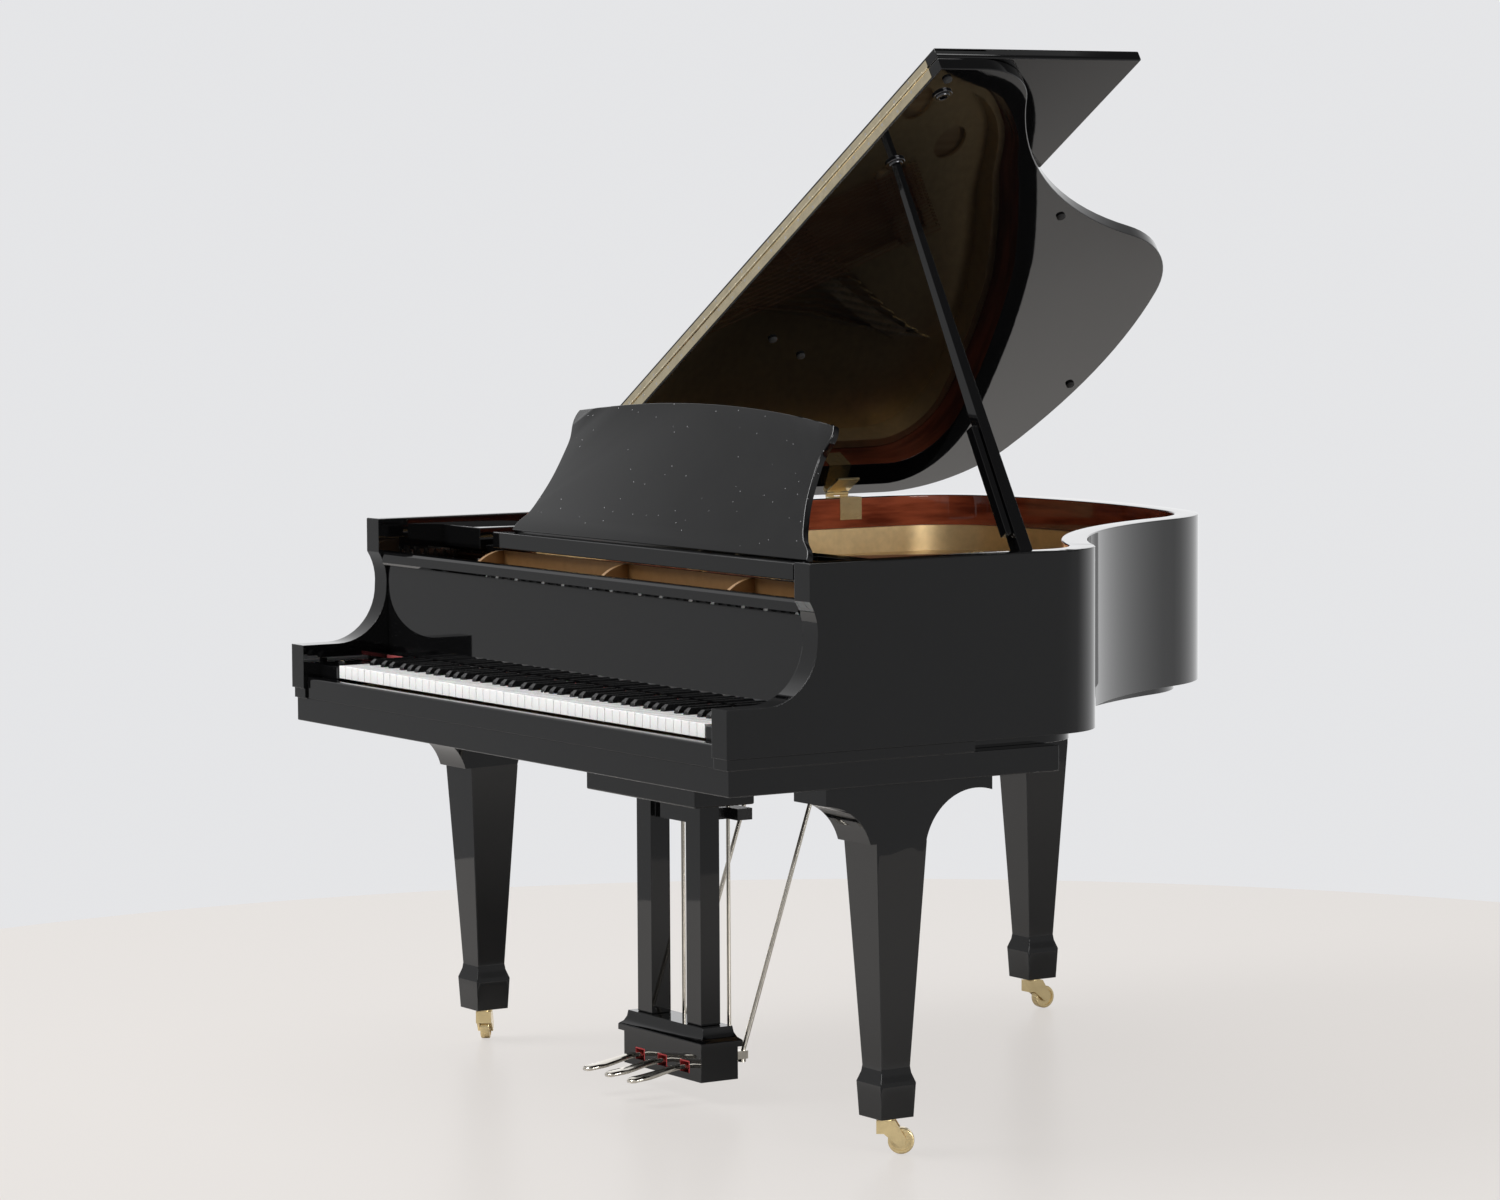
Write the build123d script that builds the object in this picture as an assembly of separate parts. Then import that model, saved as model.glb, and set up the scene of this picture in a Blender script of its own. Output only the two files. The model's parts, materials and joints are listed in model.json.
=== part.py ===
from build123d import *
import math
import os

# A small grand piano on three legs, its lid open on the long prop and the front flap folded back.
# All sizes are in millimetres.
#
# The case frame has x = 0 at the middle of the keyboard with +X to the treble, y = 0 at the front
# faces of the arms with +Y to the tail, and z = 0 on the floor.  The shift at the end moves every
# piece so that the origin is the middle of the footprint.

# ------------------------------------------------------------------ the case
HALF_WIDTH = 728.0
RIM_THICK = 44.0
RIM_BOTTOM = 672.0
RIM_TOP = 973.0
RIM_FRONT = 157.0
STRAIGHT_END = 647.0
# radius and turn of each tangent arc round the curved side, left turns positive
RIM_ARCS = ((146.9, 62.08), (951.6, -42.32), (288.1, 54.51), (1239.2, 27.05), (193.8, 78.68))
ARM_TOP = 750.0
ARM_SCROLL = 100.0
INNER_RIM_THICK = 38.0
MOULDING_INSET = 3.0

KEYBED_HALF = 722.0
KEYBED_FRONT = 7.0
KEYBED_BACK = 650.0
KEYBED_BOTTOM = 611.5
KEYBED_TOP = 654.0

BELLY_FRONT = 480.0
BELLY_BACK = 520.0
BOARD_BOTTOM = 838.0
BOARD_TOP = 846.0
PLATE_BOTTOM = 856.0
PLATE_TOP = 866.0
STRUT_TOP = 884.0
BORDER_TOP = 915.0
WEB_TOP = 921.0
WEB_BACK = 308.0
BRIDGE_WIDTH = 28.0

# ------------------------------------------------------------------ the keys and strings
KEYS = 88
WHITE_PITCH = 23.5
WHITE_WIDTH = 22.5
WHITE_FRONT = 34.0
WHITE_TOP = 717.2
WHITE_BOTTOM = 694.5
KEY_NECK = 180.0
STICK_TOP = 714.0
STICK_END = 470.0
BLACK_FRONT = 84.0
BLACK_BACK = 170.0
BLACK_TOP = 728.0
BLACK_WIDTH = 13.4
BLACK_SLOT = 15.7
MOVING_KEYS = {39: "key_c4", 40: "key_c_sharp4", 41: "key_d4", 42: "key_d_sharp4", 43: "key_e4"}

BASS_NOTES = 20
TREBLE_WIRE_Z = 876.0
BASS_WIRE_Z = 887.0
HAMMER_BOTTOM = 822.0
TREBLE_WIRE = 1.2
BASS_WIRE = 3.0
NUT_Y = 412.0
STRING_PITCH = 12.8
# the first note after each break in the strings, and how much wider the break is than the pitch
STRING_BREAKS = {20: 58.0, 37: 13.0, 53: 13.0, 69: 13.0}
PIN_DIAMETER = 7.0
PIN_ROWS = (322.0, 347.0, 372.0)

# ------------------------------------------------------------------ the fallboard and the desk
FALL_FACE = 175.0
FALL_THICK = 16.0
FALL_TOP = 912.0
FALL_BOTTOM = 726.0

RACK_HALF = 489.0
RACK_FRONT = 284.0
RACK_BACK = 600.0
RACK_RAIL = 32.0
RACK_BOTTOM = 926.0
RACK_SHELF_TOP = 935.0
RACK_TOP = 954.0
DESK_BACKREST = 25.2
DESK_FOOT = (318.0, 957.0)
DESK_PANEL = 11.0
DESK_FRAME = 4.0
DESK_PIVOT_DEPTH = 8.0
STRUT_UP = 125.0
STRUT_DEPTH = 19.0
STRUT_LENGTH = 133.9
STRUT_WIRE = 6.0
STRUT_CUT = 0.8

# ------------------------------------------------------------------ the lid and its props
LID_ANGLE = 31.8
LID_PIVOT = (-731.0, 979.0)
LID_RISE = 3.94
LID_THICK = 22.0
LID_OVERHANG = 14.0
LID_FRONT = 560.0
FLAP_DEPTH = 424.0
FLAP_THICK = 19.4
HINGE_LENGTH = 50.0
PROP_PIVOT = (663.5, 622.0, 958.5)
PROP_FOOT = 26.0
PROP_TIP = 11.0
SHORT_FOOT = 42.0
SHORT_TOP = 242.0

# ------------------------------------------------------------------ the legs, casters and lyre
LEG_AXES = {"left": (-653.8, 351.4), "right": (653.8, 351.4), "rear": (-363.3, 1395.0)}
CASTER_TURN = {"left": 144.0, "right": 54.0, "rear": 90.0}
LEG_BOTTOM = 61.3
LEG_NECK_Z = 144.4
LEG_SHOULDER_Z = 513.7
WHEEL = 43.0
WHEEL_WIDTH = 17.0
CASTER_TRAIL = 24.0

LYRE_TOP = 519.0
BOX_HALF = 126.0
BOX_FRONT = 331.0
BOX_BACK = 406.0
BOX_BOTTOM = 38.0
BOX_TOP = 96.0
PEDAL_X = {"left": -73.0, "middle": 0.0, "right": 73.0}
PEDAL_PIVOT = (372.0, 60.5)
PEDAL_TIP = 217.0
PEDAL_REAR = 431.0
ROD_Y = 422.5
ROD_DIAMETER = 7.0
ROD_BOTTOM = 65.4
ROD_TOP = 598.0


# ------------------------------------------------------------------ helpers
def block(x0, x1, y0, y1, z0, z1):
    """A block between two opposite corners."""
    middle = Pos((x0 + x1) / 2, (y0 + y1) / 2, (z0 + z1) / 2)
    return middle * Box(x1 - x0, y1 - y0, z1 - z0)


def rod(start, end, diameter):
    """A round bar from one point to another."""
    start = Vector(*start)
    end = Vector(*end)
    run = end - start
    place = Plane(origin=(start + end) / 2, z_dir=run.normalized())
    return place * Cylinder(diameter / 2, run.length)


def prism_x(outline, x0, x1):
    """A closed outline in y and z, pushed along x."""
    return extrude(Plane.YZ.offset(x0) * outline, amount=x1 - x0)


def corners(*points):
    """A flat face with straight sides."""
    return make_face(Polyline(*points, close=True))


def slab(face, z0, z1):
    """A face in x and y, given its bottom and top levels."""
    return extrude(Pos(0, 0, z0) * face, amount=z1 - z0)


def both_sides(part):
    """A part and its mirror image across the middle of the keyboard."""
    return part + mirror(part, about=Plane.YZ)


def soften(part, level, radius):
    """Rounds the edges that lie at one height."""
    chosen = part.edges().filter_by_position(Axis.Z, level - 0.01, level + 0.01)
    return fillet(chosen, radius)


def rim_face(inset, front):
    """The plan of the case inside a line that is moved in from the outline by inset."""
    x = HALF_WIDTH - inset
    y = STRAIGHT_END
    heading = 90.0
    edges = [Edge.make_line((x, front), (x, y))]
    for radius, turn in RIM_ARCS:
        side = 1 if turn > 0 else -1
        reach = radius - side * inset
        out = math.radians(heading - 90 * side)
        cx = x - reach * math.cos(out)
        cy = y - reach * math.sin(out)
        points = [(x, y)]
        for part_turn in (turn / 2, turn):
            angle = out + math.radians(part_turn)
            points.append((cx + reach * math.cos(angle), cy + reach * math.sin(angle)))
        edges.append(Edge.make_three_point_arc(*points))
        x, y = points[-1]
        heading += turn
    edges.append(Edge.make_line((x, y), (x, front)))
    edges.append(Edge.make_line((x, front), (HALF_WIDTH - inset, front)))
    return Face(Wire(edges))


nodes = {}
os.makedirs("parts", exist_ok=True)

# ------------------------------------------------------------------ the rim and its arms
wall = rim_face(0, RIM_FRONT) - rim_face(RIM_THICK, RIM_FRONT - 10)
outer_rim = soften(slab(wall, RIM_BOTTOM, RIM_TOP), RIM_TOP, 2.5)
scroll_start = (RIM_FRONT + 15 - ARM_SCROLL, ARM_TOP)
scroll_end = (RIM_FRONT + 15, ARM_TOP + ARM_SCROLL)
arm_edges = Curve() + [
    Polyline((RIM_FRONT, FALL_TOP), (RIM_FRONT, FALL_TOP + 20), (RIM_FRONT + 40, FALL_TOP + 20)),
    Polyline((RIM_FRONT + 40, FALL_TOP + 20), (RIM_FRONT + 40, RIM_BOTTOM), (0, RIM_BOTTOM)),
    Polyline((0, RIM_BOTTOM), (0, ARM_TOP), scroll_start),
    ThreePointArc(scroll_start, (147, 783.9), scroll_end),
    ThreePointArc(scroll_end, (168, 889), (RIM_FRONT, FALL_TOP)),
]
arm = prism_x(make_face(arm_edges), HALF_WIDTH - RIM_THICK, HALF_WIDTH)
outer_rim -= both_sides(block(680, 740, RIM_FRONT - 1, RIM_FRONT + 16, RIM_BOTTOM - 1, FALL_TOP))
outer_rim += both_sides(arm)
nodes["outer_rim"] = outer_rim

liner = rim_face(RIM_THICK, BELLY_FRONT) - rim_face(RIM_THICK + INNER_RIM_THICK, BELLY_FRONT - 10)
belly_half = HALF_WIDTH - RIM_THICK - INNER_RIM_THICK
inner_rim = slab(liner, KEYBED_TOP, BOARD_BOTTOM)
inner_rim += block(-belly_half, belly_half, BELLY_FRONT, BELLY_BACK, KEYBED_TOP, BOARD_BOTTOM)
nodes["inner_rim"] = inner_rim

key_bed = block(-KEYBED_HALF, KEYBED_HALF, KEYBED_FRONT, KEYBED_BACK, KEYBED_BOTTOM, KEYBED_TOP)
key_bed = soften(key_bed, KEYBED_BOTTOM, 2)
# a strip under each arm runs back along the straight side
moulding_out = HALF_WIDTH - MOULDING_INSET
strip = block(HALF_WIDTH - RIM_THICK, moulding_out, MOULDING_INSET, BELLY_FRONT - 1, KEYBED_TOP, RIM_BOTTOM)
nodes["key_bed"] = key_bed + both_sides(strip)

# ------------------------------------------------------------------ the soundboard and its braces
board = slab(rim_face(RIM_THICK, BELLY_FRONT), BOARD_BOTTOM, BOARD_TOP)
nodes["soundboard"] = board

braces = Part()
# each brace runs from the belly rail to the liner, given by its two ends in plan
for start, end in (((-330, 520), (-470, 1420)), ((-60, 520), (-120, 1430)), ((230, 520), (60, 1340))):
    run = math.dist(start, end)
    lean = math.degrees(math.atan2(end[1] - start[1], end[0] - start[0]))
    middle = Pos((start[0] + end[0]) / 2, (start[1] + end[1]) / 2, 720)
    braces += middle * Rot(0, 0, lean) * Box(run, 70, 90)
inside = slab(rim_face(RIM_THICK + INNER_RIM_THICK, BELLY_BACK), KEYBED_TOP, BOARD_BOTTOM)
nodes["back_braces"] = braces & inside


# ------------------------------------------------------------------ the strings
def string_ends(note):
    """Where a string leaves the nut and where it meets its hitch pin, in plan."""
    x = -605 + note * STRING_PITCH + sum(gap for first, gap in STRING_BREAKS.items() if note >= first)
    if note < BASS_NOTES:
        return (x, NUT_Y), (x + 400 - 4 * note, 1360 - 7 * note)
    length = 900 * 0.96 ** (note - BASS_NOTES) + 95
    lean = math.radians(9 * (KEYS - note) / (KEYS - BASS_NOTES))
    return (x, NUT_Y), (x - length * math.sin(lean), NUT_Y + length * math.cos(lean))


def along(note, back_from_hitch):
    """A point on a string, measured forward from its hitch pin."""
    start, end = string_ends(note)
    share = 1 - back_from_hitch / math.dist(start, end)
    return (start[0] + (end[0] - start[0]) * share, start[1] + (end[1] - start[1]) * share)


def wire_level(note):
    return BASS_WIRE_Z if note < BASS_NOTES else TREBLE_WIRE_Z


tuning_pins = Part()
bass_strings = Part()
treble_strings = Part()
for note in range(KEYS):
    start, end = string_ends(note)
    level = wire_level(note)
    spot = (start[0], PIN_ROWS[note % 3])
    pin_height = level + 2.4 - PLATE_TOP
    tuning_pins += Pos(spot[0], spot[1], PLATE_TOP + pin_height / 2) * Cylinder(PIN_DIAMETER / 2, pin_height)
    wire = BASS_WIRE if note < BASS_NOTES else TREBLE_WIRE
    tail = (spot[0], spot[1] + PIN_DIAMETER / 2 + 0.3, level)
    # the wire is two straight runs that meet over the nut
    pieces = [rod(tail, (start[0], start[1] - 1.5, level), wire), rod((*start, level), (*end, level), wire)]
    if note < BASS_NOTES:
        bass_strings += pieces
    else:
        treble_strings += pieces
nodes["tuning_pins"] = tuning_pins
nodes["bass_strings"] = bass_strings
nodes["treble_strings"] = treble_strings


# two curved bridges stand on the soundboard, one under each group of strings
def bridge(first, last, width, top):
    """A curved bar under the strings from one note to another."""
    curve = ThreePointArc(along(first, 75), along((2 * first + last) // 3, 75), along(last, 75))
    return slab(SlotArc(curve, width), BOARD_TOP, top)


BRIDGES = (
    (0, BASS_NOTES - 1, BASS_WIRE_Z - BASS_WIRE / 2),
    (BASS_NOTES, KEYS - 1, TREBLE_WIRE_Z - TREBLE_WIRE / 2),
)
bridges = Part()
for first, last, level in BRIDGES:
    bridges += bridge(first, last, BRIDGE_WIDTH, level - 0.1)
nodes["bridges"] = bridges


# ------------------------------------------------------------------ the iron plate and pin block
def between_strings(first, last, front, margin):
    """A flat area between two strings, from a line in front to just short of their hitch pins."""
    low, high = string_ends(first), string_ends(last)
    low_front = along(first, math.dist(*low) - (front - NUT_Y))
    high_front = along(last, math.dist(*high) - (front - NUT_Y))
    return corners(low_front, high_front, along(last, margin), along(first, margin))


plate_face = rim_face(RIM_THICK + 2, 215)
plate = slab(plate_face, PLATE_BOTTOM, PLATE_TOP)
section_starts = [0, *STRING_BREAKS]
section_ends = [first - 1 for first in STRING_BREAKS] + [KEYS - 1]
for first, last in zip(section_starts, section_ends):
    plate -= slab(between_strings(first, last, 430, 20), PLATE_BOTTOM - 1, PLATE_TOP + 1)
# the hammers and dampers reach the strings through a gap across the whole plate
plate -= block(-625, 625, NUT_Y + 6, BELLY_FRONT - 2, PLATE_BOTTOM - 1, PLATE_TOP + 1)
# it is wider where the bass strings start to cross over the others
plate -= block(-350, -285, NUT_Y + 6, 560, PLATE_BOTTOM - 1, PLATE_TOP + 1)
# round holes lighten the broad part of the plate on the treble side
for x, y, hole in ((420, 760, 80), (300, 880, 80), (200, 1020, 80), (110, 1170, 80), (0, 1310, 80)):
    plate -= Pos(x, y, PLATE_TOP) * Cylinder(hole / 2, 40)
# raised struts follow the breaks between the string sections
for first in section_starts[2:]:
    start = [(a + b) / 2 for a, b in zip(string_ends(first - 1)[0], string_ends(first)[0])]
    tail = [(a + b) / 2 for a, b in zip(along(first - 1, -60), along(first, -60))]
    run = math.dist(start, tail)
    lean = math.degrees(math.atan2(tail[1] - start[1], tail[0] - start[0]))
    middle = Pos((start[0] + tail[0]) / 2, (start[1] + tail[1]) / 2, (PLATE_BOTTOM + STRUT_TOP) / 2)
    plate += middle * Rot(0, 0, lean) * Box(run, 9, STRUT_TOP - PLATE_BOTTOM)
# the nut bar holds the strings up at the front
bass_edge = string_ends(BASS_NOTES)[0][0] - 20
plate += block(-620, bass_edge, 404, NUT_Y + 4, PLATE_TOP, BASS_WIRE_Z - BASS_WIRE / 2 - 0.1)
plate += block(bass_edge, 630, 404, NUT_Y + 4, PLATE_TOP, TREBLE_WIRE_Z - TREBLE_WIRE / 2 - 0.1)
# the plate stands on a rib round the edge of the soundboard
plate_rib = rim_face(RIM_THICK + 2, BELLY_FRONT) - rim_face(RIM_THICK + 30, BELLY_FRONT - 10)
plate += slab(plate_rib, BOARD_TOP, PLATE_BOTTOM)
border = rim_face(RIM_THICK + 2, BELLY_FRONT) - rim_face(RIM_THICK + 18, BELLY_FRONT - 10)
plate += slab(border, PLATE_TOP, BORDER_TOP)
# a raised web crosses the plate in front of the pins, with three curved fins before it
plate += block(-486, 486, WEB_BACK - 8, WEB_BACK, PLATE_TOP - 1, WEB_TOP)
fin_edges = Curve() + [
    Line((226, PLATE_TOP - 1), (226, PLATE_TOP + 1)),
    ThreePointArc((226, PLATE_TOP + 1), (252, 904), (WEB_BACK - 7, WEB_TOP)),
    Polyline((WEB_BACK - 7, WEB_TOP), (WEB_BACK - 7, PLATE_TOP - 1), (226, PLATE_TOP - 1)),
]
for x in (-481.5, -55, 345):
    plate += prism_x(make_face(fin_edges), x - 4.5, x + 4.5)
# it is cut away over both bridges
for first, last, level in BRIDGES:
    plate -= bridge(first, last, BRIDGE_WIDTH + 6, level + 1)
nodes["iron_plate"] = plate
nodes["pin_block"] = block(-676, 676, 217, 402, HAMMER_BOTTOM - 1, PLATE_BOTTOM)

# ------------------------------------------------------------------ the action
dampers = Part()
hammers = Part()
for note in range(KEYS):
    start, end = string_ends(note)
    level = wire_level(note)
    strike = along(note, math.dist(start, end) - 26)
    x, y = strike
    hammers += block(x - 4.5, x + 4.5, y - 14, y + 12, HAMMER_BOTTOM, level - 4)
    hammers += rod((x, 300, HAMMER_BOTTOM - 14), (x, y + 4, HAMMER_BOTTOM - 3), 5)
    if note < 66:
        head = along(note, math.dist(start, end) - 54)
        top = BASS_WIRE_Z + BASS_WIRE / 2 + 11
        dampers += block(head[0] - 4.5, head[0] + 4.5, head[1] - 10, head[1] + 10, level + 1.8, top)
        wire_x = head[0] + 6.5
        dampers += block(wire_x - 2.5, wire_x - 1, head[1] - 1, head[1] + 1, 780, top)
nodes["dampers"] = dampers
nodes["hammers"] = hammers

action_rails = block(-640, 640, 286, 299.8, HAMMER_BOTTOM - 24, HAMMER_BOTTOM - 6)
action_rails += block(-640, 640, 330, 350, 772, 792)
action_rails += block(-640, 640, 440, 461, 770, 779.8)
# four brackets carry the rails from the key frame
for x in (-646, -210, 215, 646):
    bracket = block(x - 3, x + 3, 284, 300, 730, HAMMER_BOTTOM - 4) + block(x - 3, x + 3, 284, 461, 730, 768)
    bracket += block(x - 3, x + 3, 328, 352, 760, 794) + block(x - 3, x + 3, 438, 461, 760, 782)
    action_rails += bracket
nodes["action_rails"] = action_rails

# ------------------------------------------------------------------ the keys
key_frame = block(-650, 650, 50, 110, KEYBED_TOP, 680) + block(-650, 650, 240, 268, KEYBED_TOP, 693)
key_frame += block(-650, 650, 440, 472, KEYBED_TOP, 690)
for x in (-630, 630):
    key_frame += block(x - 15, x + 15, 50, 472, KEYBED_TOP, 680)
nodes["key_frame"] = key_frame

# the shift of each black key from the joint between its two white neighbours
BLACK_SHIFT = {1: -2.5, 3: 2.5, 6: -3.5, 8: 0.0, 10: 3.5}
key_x = []
white_index = 0
for note in range(KEYS):
    tone = (note + 9) % 12
    joint = (white_index - 26) * WHITE_PITCH
    if tone in BLACK_SHIFT:
        key_x.append(joint + BLACK_SHIFT[tone])
    else:
        key_x.append(joint + WHITE_PITCH / 2)
        white_index += 1


def is_black(note):
    return 0 <= note < KEYS and (note + 9) % 12 in BLACK_SHIFT


def white_key(note):
    """A white key with its top cut away beside each black neighbour."""
    x = key_x[note]
    left = x - WHITE_WIDTH / 2
    right = x + WHITE_WIDTH / 2
    stick_left, stick_right = left, right
    if is_black(note - 1):
        stick_left = key_x[note - 1] + BLACK_SLOT / 2
    if is_black(note + 1):
        stick_right = key_x[note + 1] - BLACK_SLOT / 2
    shoulder = BLACK_FRONT - 1.5
    plan = block(left, right, WHITE_FRONT, shoulder, WHITE_BOTTOM, WHITE_TOP)
    plan += block(stick_left, stick_right, shoulder - 1, KEY_NECK, WHITE_BOTTOM, WHITE_TOP)
    key = soften(plan, WHITE_TOP, 0.9)
    return key + block(stick_left, stick_right, KEY_NECK - 1, STICK_END, WHITE_BOTTOM, STICK_TOP)


half = BLACK_WIDTH / 2
black_section = corners((-half, WHITE_BOTTOM), (half, WHITE_BOTTOM), (half, 717), (half - 0.8, 724),
                        (half - 2.4, BLACK_TOP), (2.4 - half, BLACK_TOP), (0.8 - half, 724), (-half, 717))
black_side = corners((BLACK_FRONT, WHITE_BOTTOM), (BLACK_FRONT, 715), (BLACK_FRONT + 2, 722),
                     (BLACK_FRONT + 9, BLACK_TOP), (BLACK_BACK, BLACK_TOP), (BLACK_BACK, STICK_TOP),
                     (STICK_END, STICK_TOP), (STICK_END, WHITE_BOTTOM))
black_key = extrude(Plane.XZ * black_section, amount=-STICK_END) & prism_x(black_side, -half, half)

white_keys = Part()
black_keys = Part()
for note in range(KEYS):
    key = Pos(key_x[note], 0, 0) * black_key if is_black(note) else white_key(note)
    if note in MOVING_KEYS:
        nodes[MOVING_KEYS[note]] = key
    elif is_black(note):
        black_keys += key
    else:
        white_keys += key
nodes["white_keys"] = white_keys
nodes["black_keys"] = black_keys

inner_half = HALF_WIDTH - RIM_THICK
cheek_block = block(614, inner_half - 0.2, WHITE_FRONT, 168, KEYBED_TOP, STICK_TOP)
cheek_block -= block(610, 652, 45, 169, KEYBED_TOP - 1, 681)
cheek_block = soften(cheek_block, STICK_TOP, 2)
# a small knob on a screw holds each block down
knob = Pos(648, 60, STICK_TOP + 4) * Cylinder(7, 8)
nodes["key_blocks"] = both_sides(cheek_block + knob)
slip = block(-inner_half + 0.3, inner_half - 0.3, KEYBED_FRONT, 30, KEYBED_TOP, 692)
nodes["key_slip"] = soften(slip, 692, 6)

# ------------------------------------------------------------------ the fallboard
FALL_LIP = FALL_FACE - 11
FALL_BACK = FALL_FACE + FALL_THICK
fall_outline = corners((FALL_FACE, FALL_BOTTOM), (FALL_FACE, 886), (FALL_LIP + 3, 889), (FALL_LIP, 893),
                       (FALL_LIP, FALL_TOP - 4), (FALL_LIP + 4, FALL_TOP), (FALL_BACK, FALL_TOP),
                       (FALL_BACK, FALL_BOTTOM))
nodes["fallboard"] = prism_x(fall_outline, -inner_half + 1, inner_half - 1)
nodes["name_felt"] = block(-inner_half + 1, inner_half - 1, 171, 174.5, 718.2, 724)

# ------------------------------------------------------------------ the music rack and desk
# slotted shelf: two openings leave a middle rail for the strut to stand on
shelf = block(-RACK_HALF, RACK_HALF, RACK_FRONT + RACK_RAIL - 1, RACK_BACK, RACK_BOTTOM, RACK_SHELF_TOP)
shelf += block(-515, 515, RACK_FRONT + RACK_RAIL, RACK_BACK - 90, RACK_BOTTOM, RACK_SHELF_TOP)
for side in (-1, 1):
    low, high = sorted((side * 150, side * 440))
    shelf -= block(low, high, 350, RACK_BACK - 40, RACK_BOTTOM - 1, RACK_SHELF_TOP + 1)
rail = block(-RACK_HALF, RACK_HALF, RACK_FRONT, RACK_FRONT + RACK_RAIL, RACK_BOTTOM, RACK_TOP)
rail = soften(rail, RACK_TOP, 2)
nodes["music_rack"] = shelf + rail
cleat = block(RACK_HALF + 1, inner_half, 306, 446, 914, RACK_BOTTOM - 0.3)
cleat += soften(block(RACK_HALF + 60, inner_half, 292, 446, 920, RACK_TOP + 4), RACK_TOP + 4, 2)
nodes["rack_cleats"] = both_sides(cleat)

# the desk's outline, s measured up the face from its foot
DESK_SIDE = ((478, 0), (470, 17), (450, 32), (431, 60), (413, 105), (404, 160), (404, 184), (413, 208),
             (408, 238.5))
DESK_HEIGHT = 264.0


def desk_face(inset):
    """The desk's shape, with its sides and top moved in by inset."""
    right_side = Spline(*[(half_width - inset, s) for half_width, s in DESK_SIDE])
    foot_half = DESK_SIDE[0][0] - inset
    head_half, head = DESK_SIDE[-1][0] - inset, DESK_SIDE[-1][1]
    return make_face(Curve() + [
        Line((-foot_half, 0), (foot_half, 0)),
        right_side,
        ThreePointArc((head_half, head), (0, DESK_HEIGHT - inset), (-head_half, head)),
        mirror(right_side, about=Plane.YZ),
    ])


back_rest = math.radians(DESK_BACKREST)
desk_up = Vector(0, math.sin(back_rest), math.cos(back_rest))
desk_back = Vector(0, math.cos(back_rest), -math.sin(back_rest))
desk_foot = Vector(0, *DESK_FOOT)
desk_plane = Plane(origin=desk_foot, x_dir=(1, 0, 0), z_dir=-desk_back)
panel = soften(extrude(desk_face(0), amount=-DESK_PANEL), 0, 1.5)
panel += extrude(Pos(0, 0, -DESK_PANEL) * desk_face(5), amount=-DESK_FRAME)
nodes["music_desk"] = desk_plane * panel
desk_pivot = desk_foot + desk_back * DESK_PIVOT_DEPTH
print("desk pivot", desk_pivot)

# the strut is one bent bar, hinged behind the desk, with its foot on the shelf
strut_top = desk_foot + desk_up * STRUT_UP + desk_back * STRUT_DEPTH
strut_down = Vector(0, desk_up.Y, -desk_up.Z)
strut_foot = strut_top + strut_down * STRUT_LENGTH
# its top is cut short to stay clear of the desk
strut_plane = Plane(origin=(strut_top + strut_foot + strut_down * STRUT_CUT) / 2, x_dir=(1, 0, 0),
                    z_dir=Vector(1, 0, 0).cross(strut_down))
strut_shape = RectangleRounded(120 + STRUT_WIRE, STRUT_LENGTH + STRUT_WIRE - STRUT_CUT, 9)
strut_shape -= RectangleRounded(120 - STRUT_WIRE, STRUT_LENGTH - STRUT_WIRE - STRUT_CUT, 4)
nodes["desk_strut"] = strut_plane * extrude(strut_shape, amount=STRUT_WIRE / 2, both=True)
print("strut hinge", strut_top)

# ------------------------------------------------------------------ the lid and its flap
# The lid is drawn shut and then turned up about its hinge line.
lid_under = LID_PIVOT[1] + LID_RISE
lid_top = lid_under + LID_THICK
flap_under = lid_top + 0.3
flap_top = flap_under + FLAP_THICK
hinge_face = LID_FRONT + 1.2


def raised(part):
    """Turns a piece of the shut lid up to the angle at which the prop holds it."""
    pivot = Pos(LID_PIVOT[0], 0, LID_PIVOT[1])
    return pivot * Rot(0, -LID_ANGLE, 0) * pivot.inverse() * part


def lid_point(s, y, down=0.0):
    """A point on the underside of the shut lid, s measured from the spine edge."""
    return Vector(LID_PIVOT[0] + 6 + s, y, lid_under - down)


lid = slab(rim_face(-LID_OVERHANG, hinge_face), lid_under, lid_top)
lid = soften(lid, lid_top, 3)
lid = soften(lid, lid_under, 2)
nodes["lid_main"] = raised(lid)
lid_edge = HALF_WIDTH + LID_OVERHANG
flap = block(-lid_edge, lid_edge, hinge_face, LID_FRONT + FLAP_DEPTH, flap_under, flap_top)
flap = soften(flap, flap_under, 3)
flap = soften(flap, flap_top, 3)
nodes["lid_flap"] = raised(flap)

hinge_from, hinge_to = -HALF_WIDTH + 8, lid_edge - 30
leaf = block(hinge_from, hinge_to, LID_FRONT + 0.2, hinge_face, lid_under + 3.4, lid_top - 1.8)
leaf += rod((hinge_from, LID_FRONT, lid_top), (hinge_to, LID_FRONT, lid_top), 4)
nodes["flap_hinge_lid_leaf"] = raised(leaf)
leaf = block(hinge_from, hinge_to, LID_FRONT + 0.2, hinge_face, lid_top + 2.3, flap_top - 5.5)
nodes["flap_hinge_flap_leaf"] = raised(leaf)

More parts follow.
